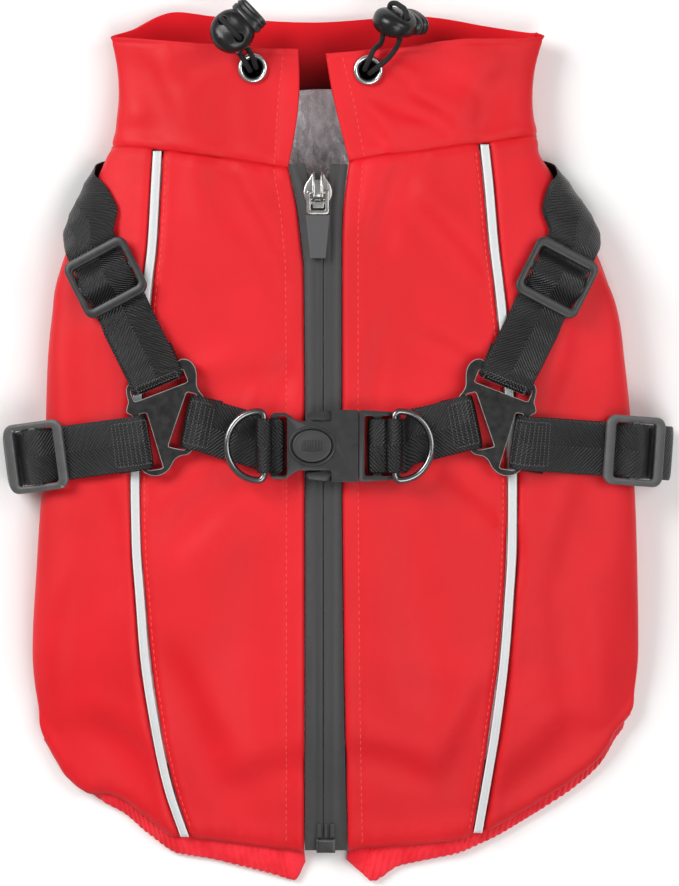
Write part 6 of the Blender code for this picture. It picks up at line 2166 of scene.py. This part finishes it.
def sew(name, lines, finish, pitch=2.45, long=1.9, thick=0.2):
    points, faces = stitch_row(lines, pitch, long, thick)
    data = drawn(name, points, faces, finish)
    merge(data, sharp=60)
    fasten(stand(name, data))


def on_upper(hand, x, y):
    """A line on the upper layer as it lies, with its creases and grooves, and its normals"""
    along = along_of(hand, x, y)
    point = np.stack([x, y, crown(x, y, along)], -1)
    slope_x = top_z(hand, x + 0.5, y) - top_z(hand, x - 0.5, y)
    slope_y = top_z(hand, x, y + 0.5) - top_z(hand, x, y - 0.5)
    face = unit(np.stack([-slope_x, -slope_y, np.ones_like(x)], -1))
    return point + face * upper_relief(hand, point, along)[:, None], face


def seam_lines(hand):
    """The rows beside the zip and beside the piping"""
    first, second = {"left": (96.0, 100.5), "right": (98.0, 102.0)}[hand]
    y = np.linspace(first, -142.5, 400)
    beside_zip = on_upper(hand, stitch_x(hand, y), y)
    y = np.linspace(second, -137.0, 400)
    return [beside_zip, on_upper(hand, pipe_x(hand, y) - out(hand) * PIPE_STITCH, y)]


sew("stitches_back", seam_lines("left") + seam_lines("right"), RED_THREAD)


def collar_line(station, up):
    """A line on the collar as it lies, read between the points of its outer face"""
    row = np.interp(up, UP, np.arange(len(UP)))
    column = np.interp(station, STATIONS, np.arange(len(STATIONS)))
    low, first = np.minimum(row.astype(int), len(UP) - 2), np.minimum(column.astype(int), len(STATIONS) - 2)
    rest, aside = (row - low)[:, None], (column - first)[:, None]

    def pick(field):
        near, far = (field[k, first] * (1 - aside) + field[k, first + 1] * aside for k in (low, low + 1))
        return near * (1 - rest) + far * rest

    return pick(COLLAR_POINTS), pick(COLLAR_FACE)


def station_at(hand, up):
    """The stations at which a front end's topstitching crosses the heights up the collar"""
    half = STATIONS < 0.9 if hand == "left" else STATIONS > 5.15
    row = np.rint(np.interp(up, UP, np.arange(len(UP)))).astype(int)
    xs = COLLAR_POINTS[row][:, half, 0]
    target = front_x(hand, up)
    order = [np.argsort(line) for line in xs]
    return np.array([np.interp(target[i], xs[i][order[i]], STATIONS[half][order[i]]) for i in range(len(up))])


up = np.linspace(0.01, 0.985, 60)
sew("stitches_collar", [collar_line(station_at(hand, up), up) for hand in HANDS], RED_THREAD)


def strap_line(rows, first, last, side_first, side_last, count=60):
    """A line on top of a strap between two distances along it and two shares of its width, with
    the strap's normals"""
    middle = fine_rows(rows, 0.5, np.linspace(-1, 1, 9))
    normal = face_normals(middle)
    if normal[..., 2].mean() < 0:
        normal = -normal
    gone = lengths(middle[:, 4])
    at = np.linspace(first, last, count)
    column = (np.linspace(side_first, side_last, count) + 1) * 4
    low, index = np.clip(column.astype(int), 0, 7), np.arange(count)
    mix = (column - low)[:, None]

    def pick(field):
        both = np.stack([read_line(at, gone, field[:, c]) for c in range(9)], 1)
        return both[index, low] * (1 - mix) + both[index, low + 1] * mix

    face = pick(normal)
    return pick(middle) + face * (WEB_T / 2 + 0.05), face


def tack(rows, first, last, bars):
    """A sewn box on a strap: two sides, and rows of short bars between"""
    return [strap_line(rows, first, last, side, side) for side in (-0.8, 0.8)] + [
        strap_line(rows, at, at + 0.01, -0.8, 0.8) for at in np.linspace(first, last, bars)]


lines = []
for hand in HANDS:
    lines += tack(chest_rows(hand)[0], 14.5, 27.0, 9)
    lines += tack(centre_rows(hand), 14.5, 22.5, 6)
    lines += tack(shoulder_rows(hand), 13.5, 16.5, 3)
sew("stitches_webbing", lines, BLACK_THREAD, 0.95, 0.62, 0.17)
